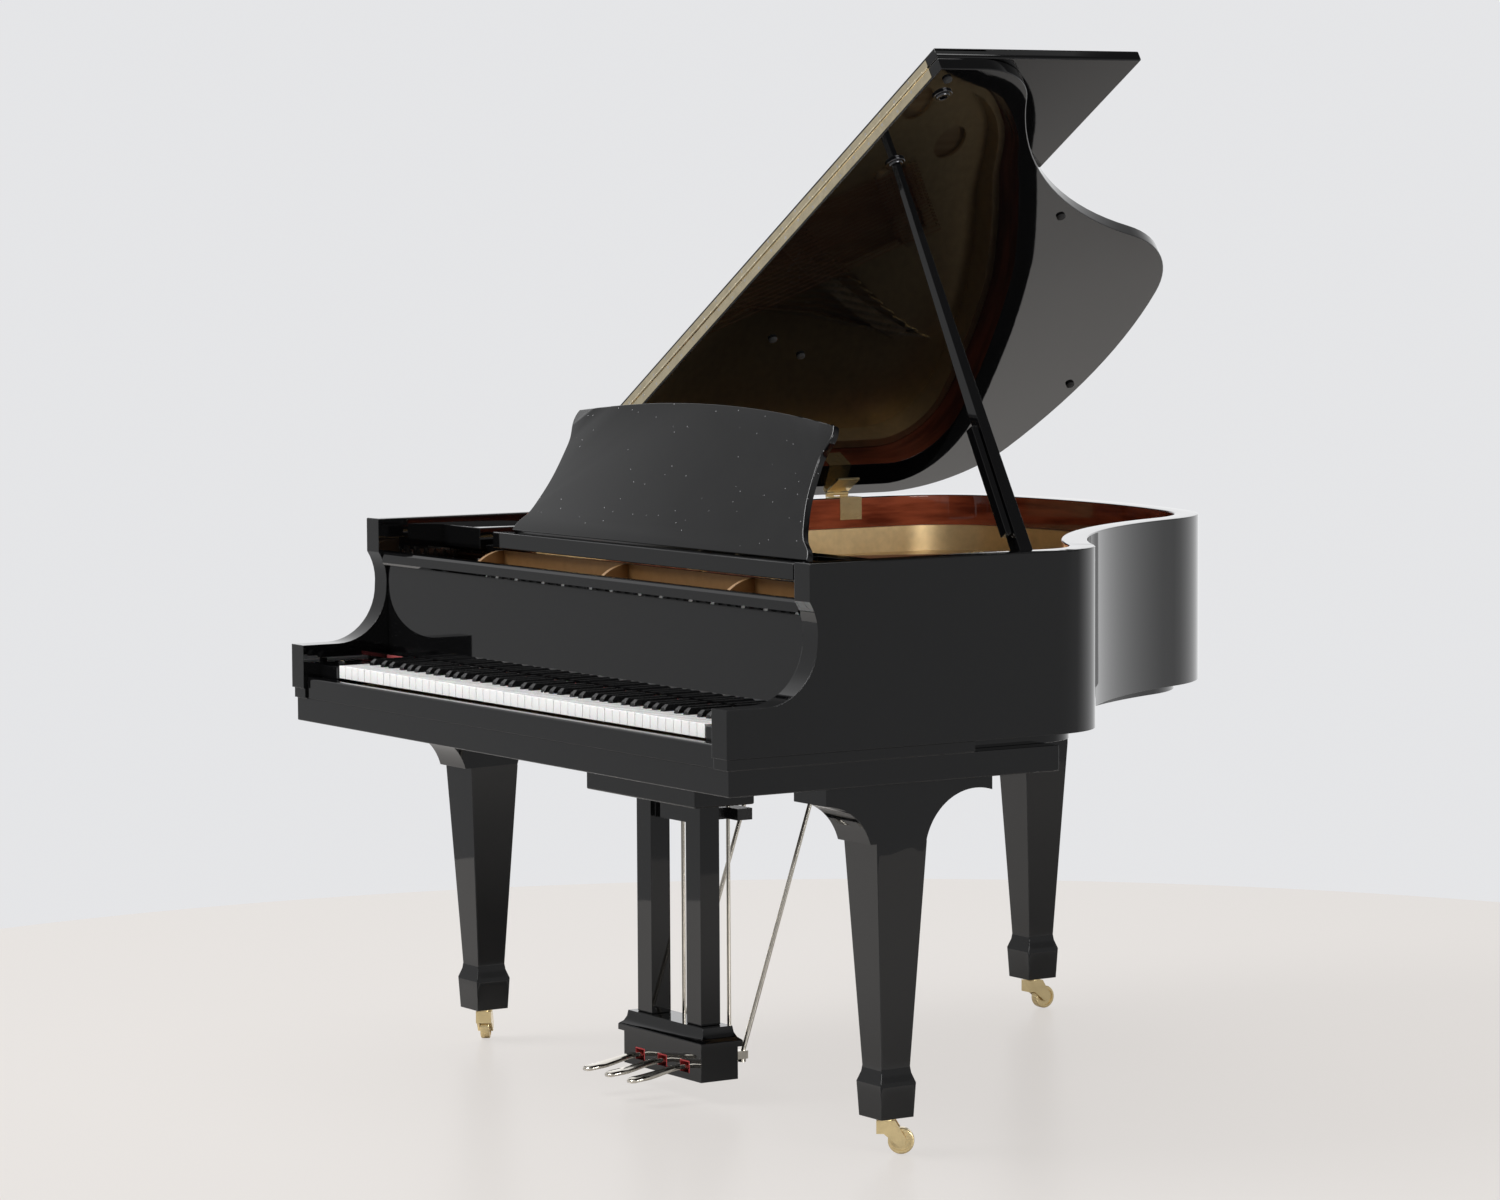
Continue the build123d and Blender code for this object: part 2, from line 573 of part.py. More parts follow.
case_leaves = Part()
lid_leaves = Part()
px, pz = LID_PIVOT
for y in (650, 1170):
    third = HINGE_LENGTH / 3
    case_leaves += block(-inner_half, -inner_half + 2, y, y + HINGE_LENGTH, 931, RIM_TOP + 1.6)
    case_leaves += block(px, -inner_half + 2, y, y + HINGE_LENGTH, RIM_TOP + 0.1, RIM_TOP + 1.6)
    for start in (y, y + 2 * third):
        case_leaves += rod((px, start, pz), (px, start + third, pz), 7)
        case_leaves += block(px - 2, px + 2, start, start + third, RIM_TOP + 0.1, pz)
    for screw, z in ((10, 941), (25, 962), (40, 941)):
        case_leaves += rod((-inner_half + 1.5, y + screw, z), (-inner_half + 2.8, y + screw, z), 7)
    lid_leaves += rod((px, y + third + 0.4, pz), (px, y + 2 * third - 0.4, pz), 7)
    lid_leaves += block(px, px + 6, y + third + 0.4, y + 2 * third - 0.4, pz + 2, lid_under - 0.1)
    lid_leaves += block(px + 5, px + 52, y, y + HINGE_LENGTH, pz + 2, lid_under - 0.1)
nodes["lid_hinges_case"] = case_leaves
nodes["lid_hinges_lid"] = raised(lid_leaves)

buttons = Part()
for s, y, size in ((1006, 1097, 16), (395, 1506, 16), (594, 714, 16), (532, 809, 16), (1438, 590, 13)):
    buttons += Pos(lid_point(s, y, 3)) * Cylinder(size / 2, 6)
nodes["lid_buttons"] = raised(buttons)
cups = Part()
for s, y in ((1183, 635), (1391, 608)):
    cups += Pos(lid_point(s, y, 2)) * Cylinder(17, 4)
    cups += Pos(lid_point(s, y, 5)) * Cylinder(12, 3)
nodes["prop_cups"] = raised(cups)

# ------------------------------------------------------------------ the two props
prop_foot = Vector(*PROP_PIVOT)
rest_spot = raised(Pos(lid_point(1183, 635, 7)) * Sphere(1)).center()
prop_up = (rest_spot - prop_foot).normalized()
prop_length = (rest_spot - prop_foot).length
# the prop folds down to lie level inside the case, pointing this way
prop_folded = Vector(-1, 0, 0)
prop_axis = prop_up.cross(prop_folded).normalized()
fold_angle = prop_up.get_angle(prop_folded)
prop_plane = Plane(origin=prop_foot, x_dir=prop_axis, z_dir=prop_up)
print("prop length", prop_length, "axis", prop_axis, "fold", fold_angle)

foot_section = Rectangle(PROP_FOOT, PROP_FOOT)
tip_section = Pos(0, 0, prop_length) * Rectangle(PROP_TIP, PROP_TIP)
prop = loft([foot_section, tip_section])
prop += Rot(0, 90, 0) * Cylinder(PROP_FOOT / 2, PROP_FOOT)
prop -= Rot(0, 90, 0) * Cylinder(4.6, PROP_FOOT + 4)
nodes["long_prop"] = prop_plane * prop

# the short prop lies against the side of the long one, hinged near its foot
short_gap = PROP_FOOT / 2 + 1.6
short = Pos(short_gap + 6, 0, (SHORT_FOOT + SHORT_TOP) / 2) * Box(12, 18, SHORT_TOP - SHORT_FOOT)
short_pin = Vector(short_gap + 6, 0, SHORT_FOOT + 6)
nodes["short_prop"] = prop_plane * short
short_pivot = prop_plane.from_local_coords(short_pin)
short_axis = prop_up.cross(prop_axis)
print("short prop pivot", short_pivot, "axis", short_axis)

# two cheeks and a pin carry the prop's foot from a block on the rim
down_local = prop_plane.to_local_coords(prop_foot + Vector(0, 0, -1))
down_turn = math.degrees(math.atan2(-down_local.Y, -down_local.Z))
bracket = Rot(0, 90, 0) * Cylinder(4, PROP_FOOT + 9)
for side in (-1, 1):
    cheek = Pos(side * (PROP_FOOT / 2 + 3), 0, 0) * Rot(0, 90, 0) * Cylinder(10, 4)
    cheek += Rot(-down_turn, 0, 0) * Pos(side * (PROP_FOOT / 2 + 3), 0, -14) * Box(4, 20, 28)
    bracket += cheek
base = block(636, inner_half, 596, 650, 924, 938)
inside_case = block(600, inner_half, 560, 700, 900, RIM_TOP)
nodes["prop_bracket"] = (prop_plane * bracket + base) & inside_case

# ------------------------------------------------------------------ the legs and their casters
FOOT_STEPS = ((LEG_BOTTOM, 64), (118, 70), (134, 59), (LEG_NECK_Z, 56))


def leg(name):
    """A tapered square leg on a small foot, with a squared head."""
    x, y = LEG_AXES[name]
    neck = Rectangle(56, 56)
    part = loft([Pos(x, y, LEG_NECK_Z) * neck, Pos(x, y, LEG_SHOULDER_Z) * Rectangle(94, 98.5)])
    # the foot flares out below the neck and draws in again to the floor
    for (low, low_side), (high, high_side) in zip(FOOT_STEPS, FOOT_STEPS[1:]):
        bottom = Pos(x, y, low) * Rectangle(low_side, low_side)
        top = Pos(x, y, high) * Rectangle(high_side, high_side)
        part += loft([bottom, top])
    return part


for name in ("left", "right"):
    x, y = LEG_AXES[name]
    side = 1 if x > 0 else -1
    bracket_edges = Curve() + [
        Polyline((205, 581), (205, KEYBED_BOTTOM), (531, KEYBED_BOTTOM), (531, 587)),
        ThreePointArc((531, 587), (443, 575), (400, LEG_SHOULDER_Z)),
        Line((400, LEG_SHOULDER_Z), (290, LEG_SHOULDER_Z)),
        ThreePointArc((290, LEG_SHOULDER_Z), (260, 560), (205, 581)),
    ]
    head = prism_x(make_face(bracket_edges), x - 47, x + 47)
    nodes["leg_" + name] = leg(name) + head
x, y = LEG_AXES["rear"]
rear = leg("rear") + block(x - 47, x + 47, y - 49.25, y + 49.25, LEG_SHOULDER_Z, KEYBED_TOP)
rear += block(x - 55, x + 55, y - 57, y + 50, 590, KEYBED_TOP)
nodes["leg_rear"] = rear
nodes["back_braces"] += block(x - 110, x + 110, 1290, 1438, KEYBED_TOP, 676) & inside

for name, (x, y) in LEG_AXES.items():
    turn = math.radians(CASTER_TURN[name])
    place = Pos(x, y, 0) * Rot(0, 0, CASTER_TURN[name])
    # the fork is drawn with its wheel out along +X, then turned
    fork = Pos(0, 0, 58.4) * Cylinder(15, 5.2)
    fork += block(-16, 14, -14, 14, 52, 56) + block(-16, -12, -14, 14, 34, 56)
    cheek_side = corners((-16, 56), (14, 56), (CASTER_TRAIL + 8, 27), (CASTER_TRAIL + 6, 15),
                         (CASTER_TRAIL - 4, 14), (-4, 34), (-16, 34))
    for y_near in (-14, 10):
        fork += extrude(Plane.XZ.offset(-y_near) * cheek_side, amount=-4)
    fork += Pos(CASTER_TRAIL, 0, WHEEL / 2) * Rot(90, 0, 0) * Cylinder(3, 28)
    nodes["caster_fork_" + name] = place * fork
    wheel = Pos(CASTER_TRAIL, 0, WHEEL / 2) * Rot(90, 0, 0) * Cylinder(WHEEL / 2, WHEEL_WIDTH)
    wheel = fillet(wheel.edges().filter_by(GeomType.CIRCLE), 2.5)
    # both sides of the wheel are turned hollow between its hub and tread
    hollow = Cylinder(16, 4) - Cylinder(6, 4)
    for face_y in (-WHEEL_WIDTH / 2, WHEEL_WIDTH / 2):
        wheel -= Pos(CASTER_TRAIL, face_y, WHEEL / 2) * Rot(90, 0, 0) * hollow
    wheel -= Pos(CASTER_TRAIL, 0, WHEEL / 2) * Rot(90, 0, 0) * Cylinder(3.4, 40)
    nodes["caster_wheel_" + name] = place * wheel
    axle = Vector(x + CASTER_TRAIL * math.cos(turn), y + CASTER_TRAIL * math.sin(turn), WHEEL / 2)
    print("caster", name, axle)

# ------------------------------------------------------------------ the lyre and pedals
lyre = block(-177, 177, 289, 409, LYRE_TOP, KEYBED_BOTTOM)
lyre = soften(lyre, LYRE_TOP, 3)
# the box has a cap with a hollowed edge, and the posts stand on the cap
lyre += both_sides(block(57, 103, 346, 385, 131, LYRE_TOP + 1))
lyre += block(-58, 58, 356, 380, 478, LYRE_TOP + 1)
nodes["lyre_frame"] = lyre

box_body = block(-BOX_HALF, BOX_HALF, BOX_FRONT, BOX_BACK, BOX_BOTTOM, BOX_TOP)
for x in PEDAL_X.values():
    box_body -= block(x - 15.5, x + 15.5, BOX_FRONT - 1, BOX_BACK + 1, 50, 71)
cap = block(-136, 136, 325, 410, BOX_TOP, 107.5)
# its crown is hollowed, wide at the foot and steep at the top
crown = Part()
CROWN_STEPS = ((107.5, 270, 83), (112, 258, 71), (120, 249, 63), (131, 244, 60))
for (low, low_x, low_y), (high, high_x, high_y) in zip(CROWN_STEPS, CROWN_STEPS[1:]):
    bottom = Pos(0, 367.5, low) * Rectangle(low_x, low_y)
    crown += loft([bottom, Pos(0, 367.5, high) * Rectangle(high_x, high_y)])
nodes["pedal_box"] = box_body + soften(cap, 107.5, 2) + crown

braces = Part()
for x in (-100, 100):
    braces += rod((x, 431, 74), (x, 611, 608), 8)
    braces += block(x - 9, x + 9, BOX_BACK, 438, 68, 82)
    braces += Pos(x, 431, 65) * Cylinder(7, 6)
    braces += block(x - 12, x + 12, 596, 626, 603, KEYBED_BOTTOM)
nodes["lyre_braces"] = braces

# each pedal is a bar through the box with a rounded, turned-down tip
tip_radius = 14.0
pedal_edges = Curve() + [
    Polyline((PEDAL_REAR, 57), (PEDAL_REAR, 64), (318, 64)),
    Spline((318, 64), (285, 58), (250, 52), (228, 51), (PEDAL_TIP, 45)),
    Line((PEDAL_TIP, 45), (PEDAL_TIP + 2, 41)),
    Spline((PEDAL_TIP + 2, 41), (230, 44), (252, 45), (285, 51), (318, 57)),
    Line((318, 57), (PEDAL_REAR, 57)),
]
pedal_side = make_face(pedal_edges)
pedal_plan = Pos(0, PEDAL_TIP + tip_radius) * Circle(tip_radius)
tip_y = PEDAL_TIP + tip_radius
pedal_plan += corners((-tip_radius, tip_y), (tip_radius, tip_y), (tip_radius, 262), (10, 300),
                      (10, PEDAL_REAR), (-10, PEDAL_REAR), (-10, 300), (-tip_radius, 262))
pedal_bar = prism_x(pedal_side, -20, 20) & slab(pedal_plan, 30, 80)
pedal_bar += rod((-14.8, *PEDAL_PIVOT), (14.8, *PEDAL_PIVOT), 8)
for name, x in PEDAL_X.items():
    nodes["pedal_" + name] = Pos(x, 0, 0) * pedal_bar
    nodes["pedal_rod_" + name] = rod((x, ROD_Y, ROD_BOTTOM), (x, ROD_Y, ROD_TOP), ROD_DIAMETER)

# a rail behind the posts guides the rods, and levers hang above them under the key bed
trap = block(-123, 123, BOX_BACK + 4, 440, 485, 505)
for x in PEDAL_X.values():
    trap -= Pos(x, ROD_Y, 495) * Cylinder(ROD_DIAMETER / 2 + 1, 40)
    trap += block(x - 9, x + 9, 448, 560, 590, 604) + block(x - 12, x + 12, 490, 510, 584, KEYBED_BOTTOM)
trap += both_sides(block(68, 92, 385, BOX_BACK + 5, 485, 505))
nodes["trap_work"] = trap

# ------------------------------------------------------------------ one origin and one file each
whole = Compound(children=[Part() + part for part in nodes.values()])
bounds = whole.bounding_box()
shift = Vector(-(bounds.min.X + bounds.max.X) / 2, -(bounds.min.Y + bounds.max.Y) / 2, -bounds.min.Z)
print("shift", shift)
print("size", bounds.size)
for name, part in nodes.items():
    export_step(Pos(shift) * part, f"parts/{name}.step")
print("pieces", len(nodes))
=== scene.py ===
# %% [markdown]
# # A small grand piano
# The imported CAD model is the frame.  It gives every solid its size and place, and this script
# gives those solids their finishes, replaces some of them with finer meshes, and lights them.
# Everything is in metres.

# %% Load the frame
import bpy
import bmesh
import json
import math
from mathutils import Matrix, Vector


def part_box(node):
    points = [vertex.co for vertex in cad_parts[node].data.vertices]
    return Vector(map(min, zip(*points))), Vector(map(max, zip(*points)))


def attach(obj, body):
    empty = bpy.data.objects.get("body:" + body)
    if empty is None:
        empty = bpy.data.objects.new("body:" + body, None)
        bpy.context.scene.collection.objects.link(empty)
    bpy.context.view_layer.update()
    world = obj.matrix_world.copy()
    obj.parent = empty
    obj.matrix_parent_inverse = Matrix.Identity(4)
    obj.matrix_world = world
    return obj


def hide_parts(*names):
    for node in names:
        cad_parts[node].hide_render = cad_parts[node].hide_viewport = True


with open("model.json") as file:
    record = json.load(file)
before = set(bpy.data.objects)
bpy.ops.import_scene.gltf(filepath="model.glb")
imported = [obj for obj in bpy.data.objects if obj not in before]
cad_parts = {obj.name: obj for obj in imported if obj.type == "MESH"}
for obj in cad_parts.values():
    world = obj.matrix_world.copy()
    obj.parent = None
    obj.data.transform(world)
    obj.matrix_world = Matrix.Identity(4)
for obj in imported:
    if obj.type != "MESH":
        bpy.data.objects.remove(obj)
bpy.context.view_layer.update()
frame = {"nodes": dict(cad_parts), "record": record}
nodes = frame["nodes"]

# %% [markdown]
# The case frame has its origin at the middle of the keyboard, on the floor, level with the front
# of the arms.  The rim's own box says where that is in the model's frame, so that the sizes below
# can be read straight off the instrument.

# %% Find the case frame
HALF_WIDTH = 0.728
rim_low, rim_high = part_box("outer_rim")
CASE = Vector((rim_high.x - HALF_WIDTH, rim_low.y, 0.0))
print("case origin", tuple(round(v, 4) for v in CASE))


def at(x, y, z):
    """A point of the case frame, given in millimetres, in the model's frame in metres."""
    return CASE + Vector((x, y, z)) * 0.001


# %% [markdown]
# ## The camera
# A long lens stands about eight metres off, above the rim, and looks across the keyboard's
# diagonal from the treble side.  An empty could be tracked to aim it, but three angles and a focal
# length in pixels say the same, and keep its slight roll.

# %% Place the camera
CAMERA_SPOT = (7049.8, -4063.4, 1527.7)
YAW, PITCH, ROLL = math.radians(56.984), math.radians(-4.598), math.radians(-0.303)
FOCAL_PIXELS = 4840.4
PICTURE_WIDTH = 1500

ahead = Vector((-math.sin(YAW) * math.cos(PITCH), math.cos(YAW) * math.cos(PITCH), math.sin(PITCH)))
level_right = ahead.cross(Vector((0, 0, 1))).normalized()
level_up = level_right.cross(ahead)
right = level_right * math.cos(ROLL) + level_up * math.sin(ROLL)
up = level_up * math.cos(ROLL) - level_right * math.sin(ROLL)
camera = bpy.data.objects.new("camera", bpy.data.cameras.new("camera"))
bpy.context.collection.objects.link(camera)
camera.matrix_world = Matrix.Translation(at(*CAMERA_SPOT)) @ Matrix((right, up, -ahead)).transposed().to_4x4()
camera.data.sensor_width = 36.0
camera.data.lens = 36.0 * FOCAL_PIXELS / PICTURE_WIDTH
camera.data.clip_end = 100.0
bpy.context.scene.camera = camera
print("lens", round(camera.data.lens, 1), "mm")

# %% [markdown]
# ## Finishes
# Every finish is built from nodes in the object's own coordinates, which are the model's frame,
# so that grain and flecks have their real scale.  First come two short helpers.

# %% Helpers for shader nodes
def add(tree, kind, inputs=None, **settings):
    """Adds a node; an input given as a socket is linked, any other value is set on it."""
    node = tree.nodes.new(kind)
    for key, value in settings.items():
        setattr(node, key, value)
    for key, value in (inputs or {}).items():
        if isinstance(value, bpy.types.NodeSocket):
            tree.links.new(value, node.inputs[key])
        else:
            node.inputs[key].default_value = value
    return node


def finish_named(name, colour, roughness, **sockets):
    """A new material whose constant values sit on the shader's own sockets."""
    made = bpy.data.materials.new(name)
    made.use_nodes = True
    tree = made.node_tree
    shader = tree.nodes["Principled BSDF"]
    shader.inputs["Base Color"].default_value = (*colour, 1.0)
    shader.inputs["Roughness"].default_value = roughness
    for key, value in sockets.items():
        shader.inputs[key.replace("_", " ")].default_value = value
    return made, tree, shader


def noise(tree, scale, stretch=(1.0, 1.0, 1.0), detail=3.0, turn=(0.0, 0.0, 0.0)):
    """A noise field in metres; stretch below one draws it out along that axis."""
    place = add(tree, "ShaderNodeTexCoord")
    mapped = add(tree, "ShaderNodeMapping", {"Vector": place.outputs["Object"], "Scale": stretch,
                                             "Rotation": turn})
    field = add(tree, "ShaderNodeTexNoise", {"Vector": mapped.outputs[0], "Scale": scale, "Detail": detail})
    return field.outputs["Fac"]


def ramp(tree, fac, *stops):
    """A colour ramp through (position, (r, g, b)) stops."""
    node = add(tree, "ShaderNodeValToRGB", {"Fac": fac})
    elements = node.color_ramp.elements
    while len(elements) < len(stops):
        elements.new(0.5)
    for element, (position, colour) in zip(elements, stops):
        element.position = position
        element.color = (*colour, 1.0)
    return node.outputs["Color"]


def between(tree, fac, low, high):
    """Spreads a field between two values."""
    return add(tree, "ShaderNodeMapRange", {"Value": fac, "To Min": low, "To Max": high}).outputs[0]


def rough_surface(tree, shader, height, strength, depth):
    """Bumps the surface by a height field."""
    bump = add(tree, "ShaderNodeBump", {"Height": height, "Strength": strength, "Distance": depth})
    tree.links.new(bump.outputs[0], shader.inputs["Normal"])
    return bump


print("helpers ready")

# %% [markdown]
# ### Black lacquer
# The case is polished polyester, almost black, with a hard clear surface.  A black colour with no
# roughness would do for a start, but it looks like glass.  So a very faint long ripple keeps its
# reflections from being perfect, thin haze varies its polish, and a few flecks are dust.

# %% Black lacquers
BLACK = (0.0022, 0.0022, 0.0024)
POLISH = 0.03
FINE_FLECKS = 0.008


def lacquer(name, haze, dust, fleck=(0.05, 0.05, 0.052), soft_edge=0.0):
    """Polished black; haze is its roughness, and dust is how wide its flecks are."""
    made, tree, shader = finish_named(name, BLACK, haze, IOR=1.5)
    polish = noise(tree, 9.0, detail=5.0)
    tree.links.new(between(tree, polish, haze * 0.6, haze * 1.4), shader.inputs["Roughness"])
    place = add(tree, "ShaderNodeTexCoord")
    specks = add(tree, "ShaderNodeTexVoronoi", {"Scale": 60.0, "Vector": place.outputs["Object"]})
    near = add(tree, "ShaderNodeMath", {0: specks.outputs["Distance"], 1: dust}, operation="LESS_THAN")
    tree.links.new(ramp(tree, near.outputs[0], (0.0, BLACK), (1.0, fleck)), shader.inputs["Base Color"])
    bump = rough_surface(tree, shader, noise(tree, 28.0, detail=1.0), 0.04, 0.0005)
    if soft_edge:
        edge = add(tree, "ShaderNodeBevel", {"Radius": soft_edge}, samples=4)
        tree.links.new(edge.outputs[0], bump.inputs["Normal"])
    return made


black_lacquer = lacquer("black_lacquer", POLISH, FINE_FLECKS)
desk_lacquer = lacquer("desk_lacquer", 0.13, 0.055, (0.3, 0.3, 0.31))
satin_black = lacquer("satin_black", 0.3, 0.0)
print("made", black_lacquer.name, desk_lacquer.name, satin_black.name)

# %% [markdown]
# ### Woods
# Mahogany veneer lines the inside of the rim, spruce makes the soundboard and braces, and pale
# maple makes the action.  A picture of a board could be wrapped round them, but it would repeat
# and need its corners placed.  Noise that is drawn out along the board fits any of them.

# %% Woods
def grained(name, dark, light, stretch, roughness, coat, scale=60.0, turn=(0.0, 0.0, 0.0)):
    """Wood with fine lines over broad bands, under a clear coat of the given weight."""
    made, tree, shader = finish_named(name, light, roughness, Coat_Weight=coat, Coat_Roughness=0.08)
    lines = noise(tree, scale, stretch, 6.0, turn)
    broad = noise(tree, scale * 0.12, stretch, 2.0, turn)
    mixed = add(tree, "ShaderNodeMath", {0: lines, 1: broad}, operation="MULTIPLY_ADD")
    mixed.inputs[2].default_value = 0.25
    tree.links.new(ramp(tree, mixed.outputs[0], (0.36, dark), (0.62, light)), shader.inputs["Base Color"])
    rough_surface(tree, shader, lines, 0.12, 0.0003)
    return made


MAHOGANY_DARK, MAHOGANY_LIGHT = (0.11, 0.02, 0.009), (0.32, 0.07, 0.03)
mahogany = grained("mahogany", MAHOGANY_DARK, MAHOGANY_LIGHT, (0.12, 0.12, 1.0), 0.28, 0.6)
spruce = grained("spruce", (0.48, 0.29, 0.12), (0.78, 0.55, 0.29), (1.0, 0.05, 0.3), 0.34, 0.4, 140.0,
                 (0.0, 0.0, math.radians(40)))
maple = grained("maple", (0.5, 0.33, 0.17), (0.72, 0.54, 0.33), (0.06, 1.0, 1.0), 0.5, 0.0, 160.0)
print("made", mahogany.name, spruce.name, maple.name)

# %% [markdown]
# The rim is black outside and veneered inside, behind the pin block.  The solid could be split in
# two for that.  But a face looks inward where its normal points back to the middle of the case,
# so one finish can tell the two apart, and the solid stays whole.

# %% The rim's two finishes
CASE_MIDDLE = (-120, 800, 820)
VENEER_FROM = 470
RIM_EDGE = 0.0014


def rim_finish():
    """Lacquer on the faces that look outward, veneer on the steep ones that look inward."""
    made = lacquer("rim_lacquer", POLISH, FINE_FLECKS, soft_edge=RIM_EDGE)
    tree = made.node_tree
    shader = tree.nodes["Principled BSDF"]
    black = shader.inputs["Base Color"].links[0].from_socket
    geometry = add(tree, "ShaderNodeNewGeometry")
    middle = at(*CASE_MIDDLE)
    away = add(tree, "ShaderNodeVectorMath", {0: geometry.outputs["Position"], 1: middle},
               operation="SUBTRACT")
    facing = add(tree, "ShaderNodeVectorMath", {0: geometry.outputs["True Normal"], 1: away.outputs[0]},
                 operation="DOT_PRODUCT")
    inward = add(tree, "ShaderNodeMath", {0: facing.outputs["Value"], 1: -0.05}, operation="LESS_THAN")
    parts = add(tree, "ShaderNodeSeparateXYZ", {0: geometry.outputs["Position"]})
    behind = add(tree, "ShaderNodeMath", {0: parts.outputs["Y"], 1: at(0, VENEER_FROM, 0).y},
                 operation="GREATER_THAN")
    normal = add(tree, "ShaderNodeSeparateXYZ", {0: geometry.outputs["True Normal"]})
    steep = add(tree, "ShaderNodeMath", {0: normal.outputs["Z"], 1: 0.5}, operation="LESS_THAN")
    both = add(tree, "ShaderNodeMath", {0: inward.outputs[0], 1: behind.outputs[0]}, operation="MULTIPLY")
    inside = add(tree, "ShaderNodeMath", {0: both.outputs[0], 1: steep.outputs[0]}, operation="MULTIPLY")
    grain = noise(tree, 55.0, (0.12, 0.12, 1.0), 6.0)
    veneer = ramp(tree, grain, (0.36, MAHOGANY_DARK), (0.64, MAHOGANY_LIGHT))
    chosen = add(tree, "ShaderNodeMix", {"Factor": inside.outputs[0]}, data_type="RGBA")
    tree.links.new(black, chosen.inputs["A"])
    tree.links.new(veneer, chosen.inputs["B"])
    tree.links.new(chosen.outputs["Result"], shader.inputs["Base Color"])
    return made


rim_lacquer = rim_finish()
print("made", rim_lacquer.name)

# %% [markdown]
# ### Metals
# The iron plate wears gold bronze paint over a sandy casting, so it is not fully metallic, and its
# front flange gets painted shade: a darker colour that stands in for the shade under the rack.  Brass is
# polished with finger haze, wire is drawn steel, and the
# bass wires show the fine winding of their copper.  One function makes all the plain ones, since
# they differ only in colour, polish and the size of their bumps.

# %% Metals
# Painted shade: where the plate's front flange ends, and the darker colour that stands in for its shade.
FLANGE_SHADE_LINE, FLANGE_SHADE_FADE = 330, 40
FLANGE_PAINTED_SHADE = (0.36, 0.27, 0.2)


def metal(name, colour, roughness, bump_scale, bump_depth, spread=0.35, metallic=1.0):
    """A metal whose polish varies by the spread and whose colour has darker clouds."""
    made, tree, shader = finish_named(name, colour, roughness, Metallic=metallic)
    haze = noise(tree, 22.0, detail=6.0)
    tree.links.new(between(tree, haze, roughness * (1 - spread), roughness * (1 + spread)),
                   shader.inputs["Roughness"])
    dark = tuple(0.86 * value for value in colour)
    tree.links.new(ramp(tree, noise(tree, 60.0), (0.3, dark), (0.7, colour)), shader.inputs["Base Color"])
    rough_surface(tree, shader, noise(tree, bump_scale, detail=4.0), 0.15, bump_depth)
    return made


def paint_flange_shade(made, line, painted_shade):
    """Paints shade into a finish in front of a line across the case, as a darker colour on the plate's front
    flange.
    """
    tree = made.node_tree
    shader = tree.nodes["Principled BSDF"]
    colour = shader.inputs["Base Color"].links[0].from_socket
    place = add(tree, "ShaderNodeTexCoord")
    parts = add(tree, "ShaderNodeSeparateXYZ", {0: place.outputs["Object"]})
    front = add(tree, "ShaderNodeMapRange", {"Value": parts.outputs["Y"], "From Min": at(0, line, 0).y,
                                             "From Max": at(0, line + FLANGE_SHADE_FADE, 0).y, "To Min": 1.0,
                                             "To Max": 0.0})
    shaded_colour = add(tree, "ShaderNodeMix", {"Factor": front.outputs[0]}, data_type="RGBA", blend_type="MULTIPLY")
    tree.links.new(colour, shaded_colour.inputs["A"])
    shaded_colour.inputs["B"].default_value = (*painted_shade, 1.0)
    tree.links.new(shaded_colour.outputs["Result"], shader.inputs["Base Color"])


gold_iron = metal("gold_iron", (0.80, 0.59, 0.31), 0.38, 900.0, 0.0004, metallic=0.6)
# Painted shade: the plate's front flange is darkened in its colour, standing in for the shade it lies in.
paint_flange_shade(gold_iron, FLANGE_SHADE_LINE, FLANGE_PAINTED_SHADE)
brass = metal("brass", (0.88, 0.7, 0.38), 0.2, 400.0, 0.0001, metallic=0.75)
pale_brass = metal("pale_brass", (0.83, 0.72, 0.5), 0.2, 500.0, 0.0001)
steel_wire = metal("steel_wire", (0.66, 0.65, 0.62), 0.25, 700.0, 0.0001)
nickel = metal("nickel", (0.78, 0.73, 0.64), 0.1, 300.0, 0.0001)
dark_chrome = metal("dark_chrome", (0.1, 0.1, 0.105), 0.14, 300.0, 0.0001)


def wound_wire():
    """Copper with the fine bands of its winding across the case."""
    made, tree, shader = finish_named("copper_wire", (0.66, 0.32, 0.18), 0.3, Metallic=1.0)
    place = add(tree, "ShaderNodeTexCoord")
    winding = add(tree, "ShaderNodeTexWave", {"Vector": place.outputs["Object"], "Scale": 300.0},
                  bands_direction="Y")
    tree.links.new(ramp(tree, winding.outputs["Fac"], (0.2, (0.4, 0.17, 0.09)), (0.8, (0.7, 0.36, 0.2))),
                   shader.inputs["Base Color"])
    rough_surface(tree, shader, winding.outputs["Fac"], 0.5, 0.0003)
    return made


copper_wire = wound_wire()
print("made", gold_iron.name, brass.name, pale_brass.name, steel_wire.name, nickel.name, copper_wire.name)

# %% [markdown]
# ### Keys, felt and rubber
# The white keys are moulded and polished, and the black ones are satin.  Real keys are never all
# the same white, and a random value for each loose island of the mesh gives every key its shade
# without a material of its own.  Felt is soft and fuzzy, and the lid's buttons are dull rubber.

# %% Keys, felt and rubber
def key_plastic():
    """White plastic, each key a shade apart from the next."""
    made, tree, shader = finish_named("ivory_white", (0.83, 0.82, 0.79), 0.14, Subsurface_Weight=0.06,
                                      Subsurface_Scale=0.003, Coat_Weight=0.3)
    own = add(tree, "ShaderNodeNewGeometry").outputs["Random Per Island"]
    tree.links.new(ramp(tree, own, (0.0, (0.9, 0.895, 0.882)), (1.0, (0.94, 0.937, 0.928))),
                   shader.inputs["Base Color"])
    rough_surface(tree, shader, noise(tree, 120.0), 0.03, 0.0003)
    return made


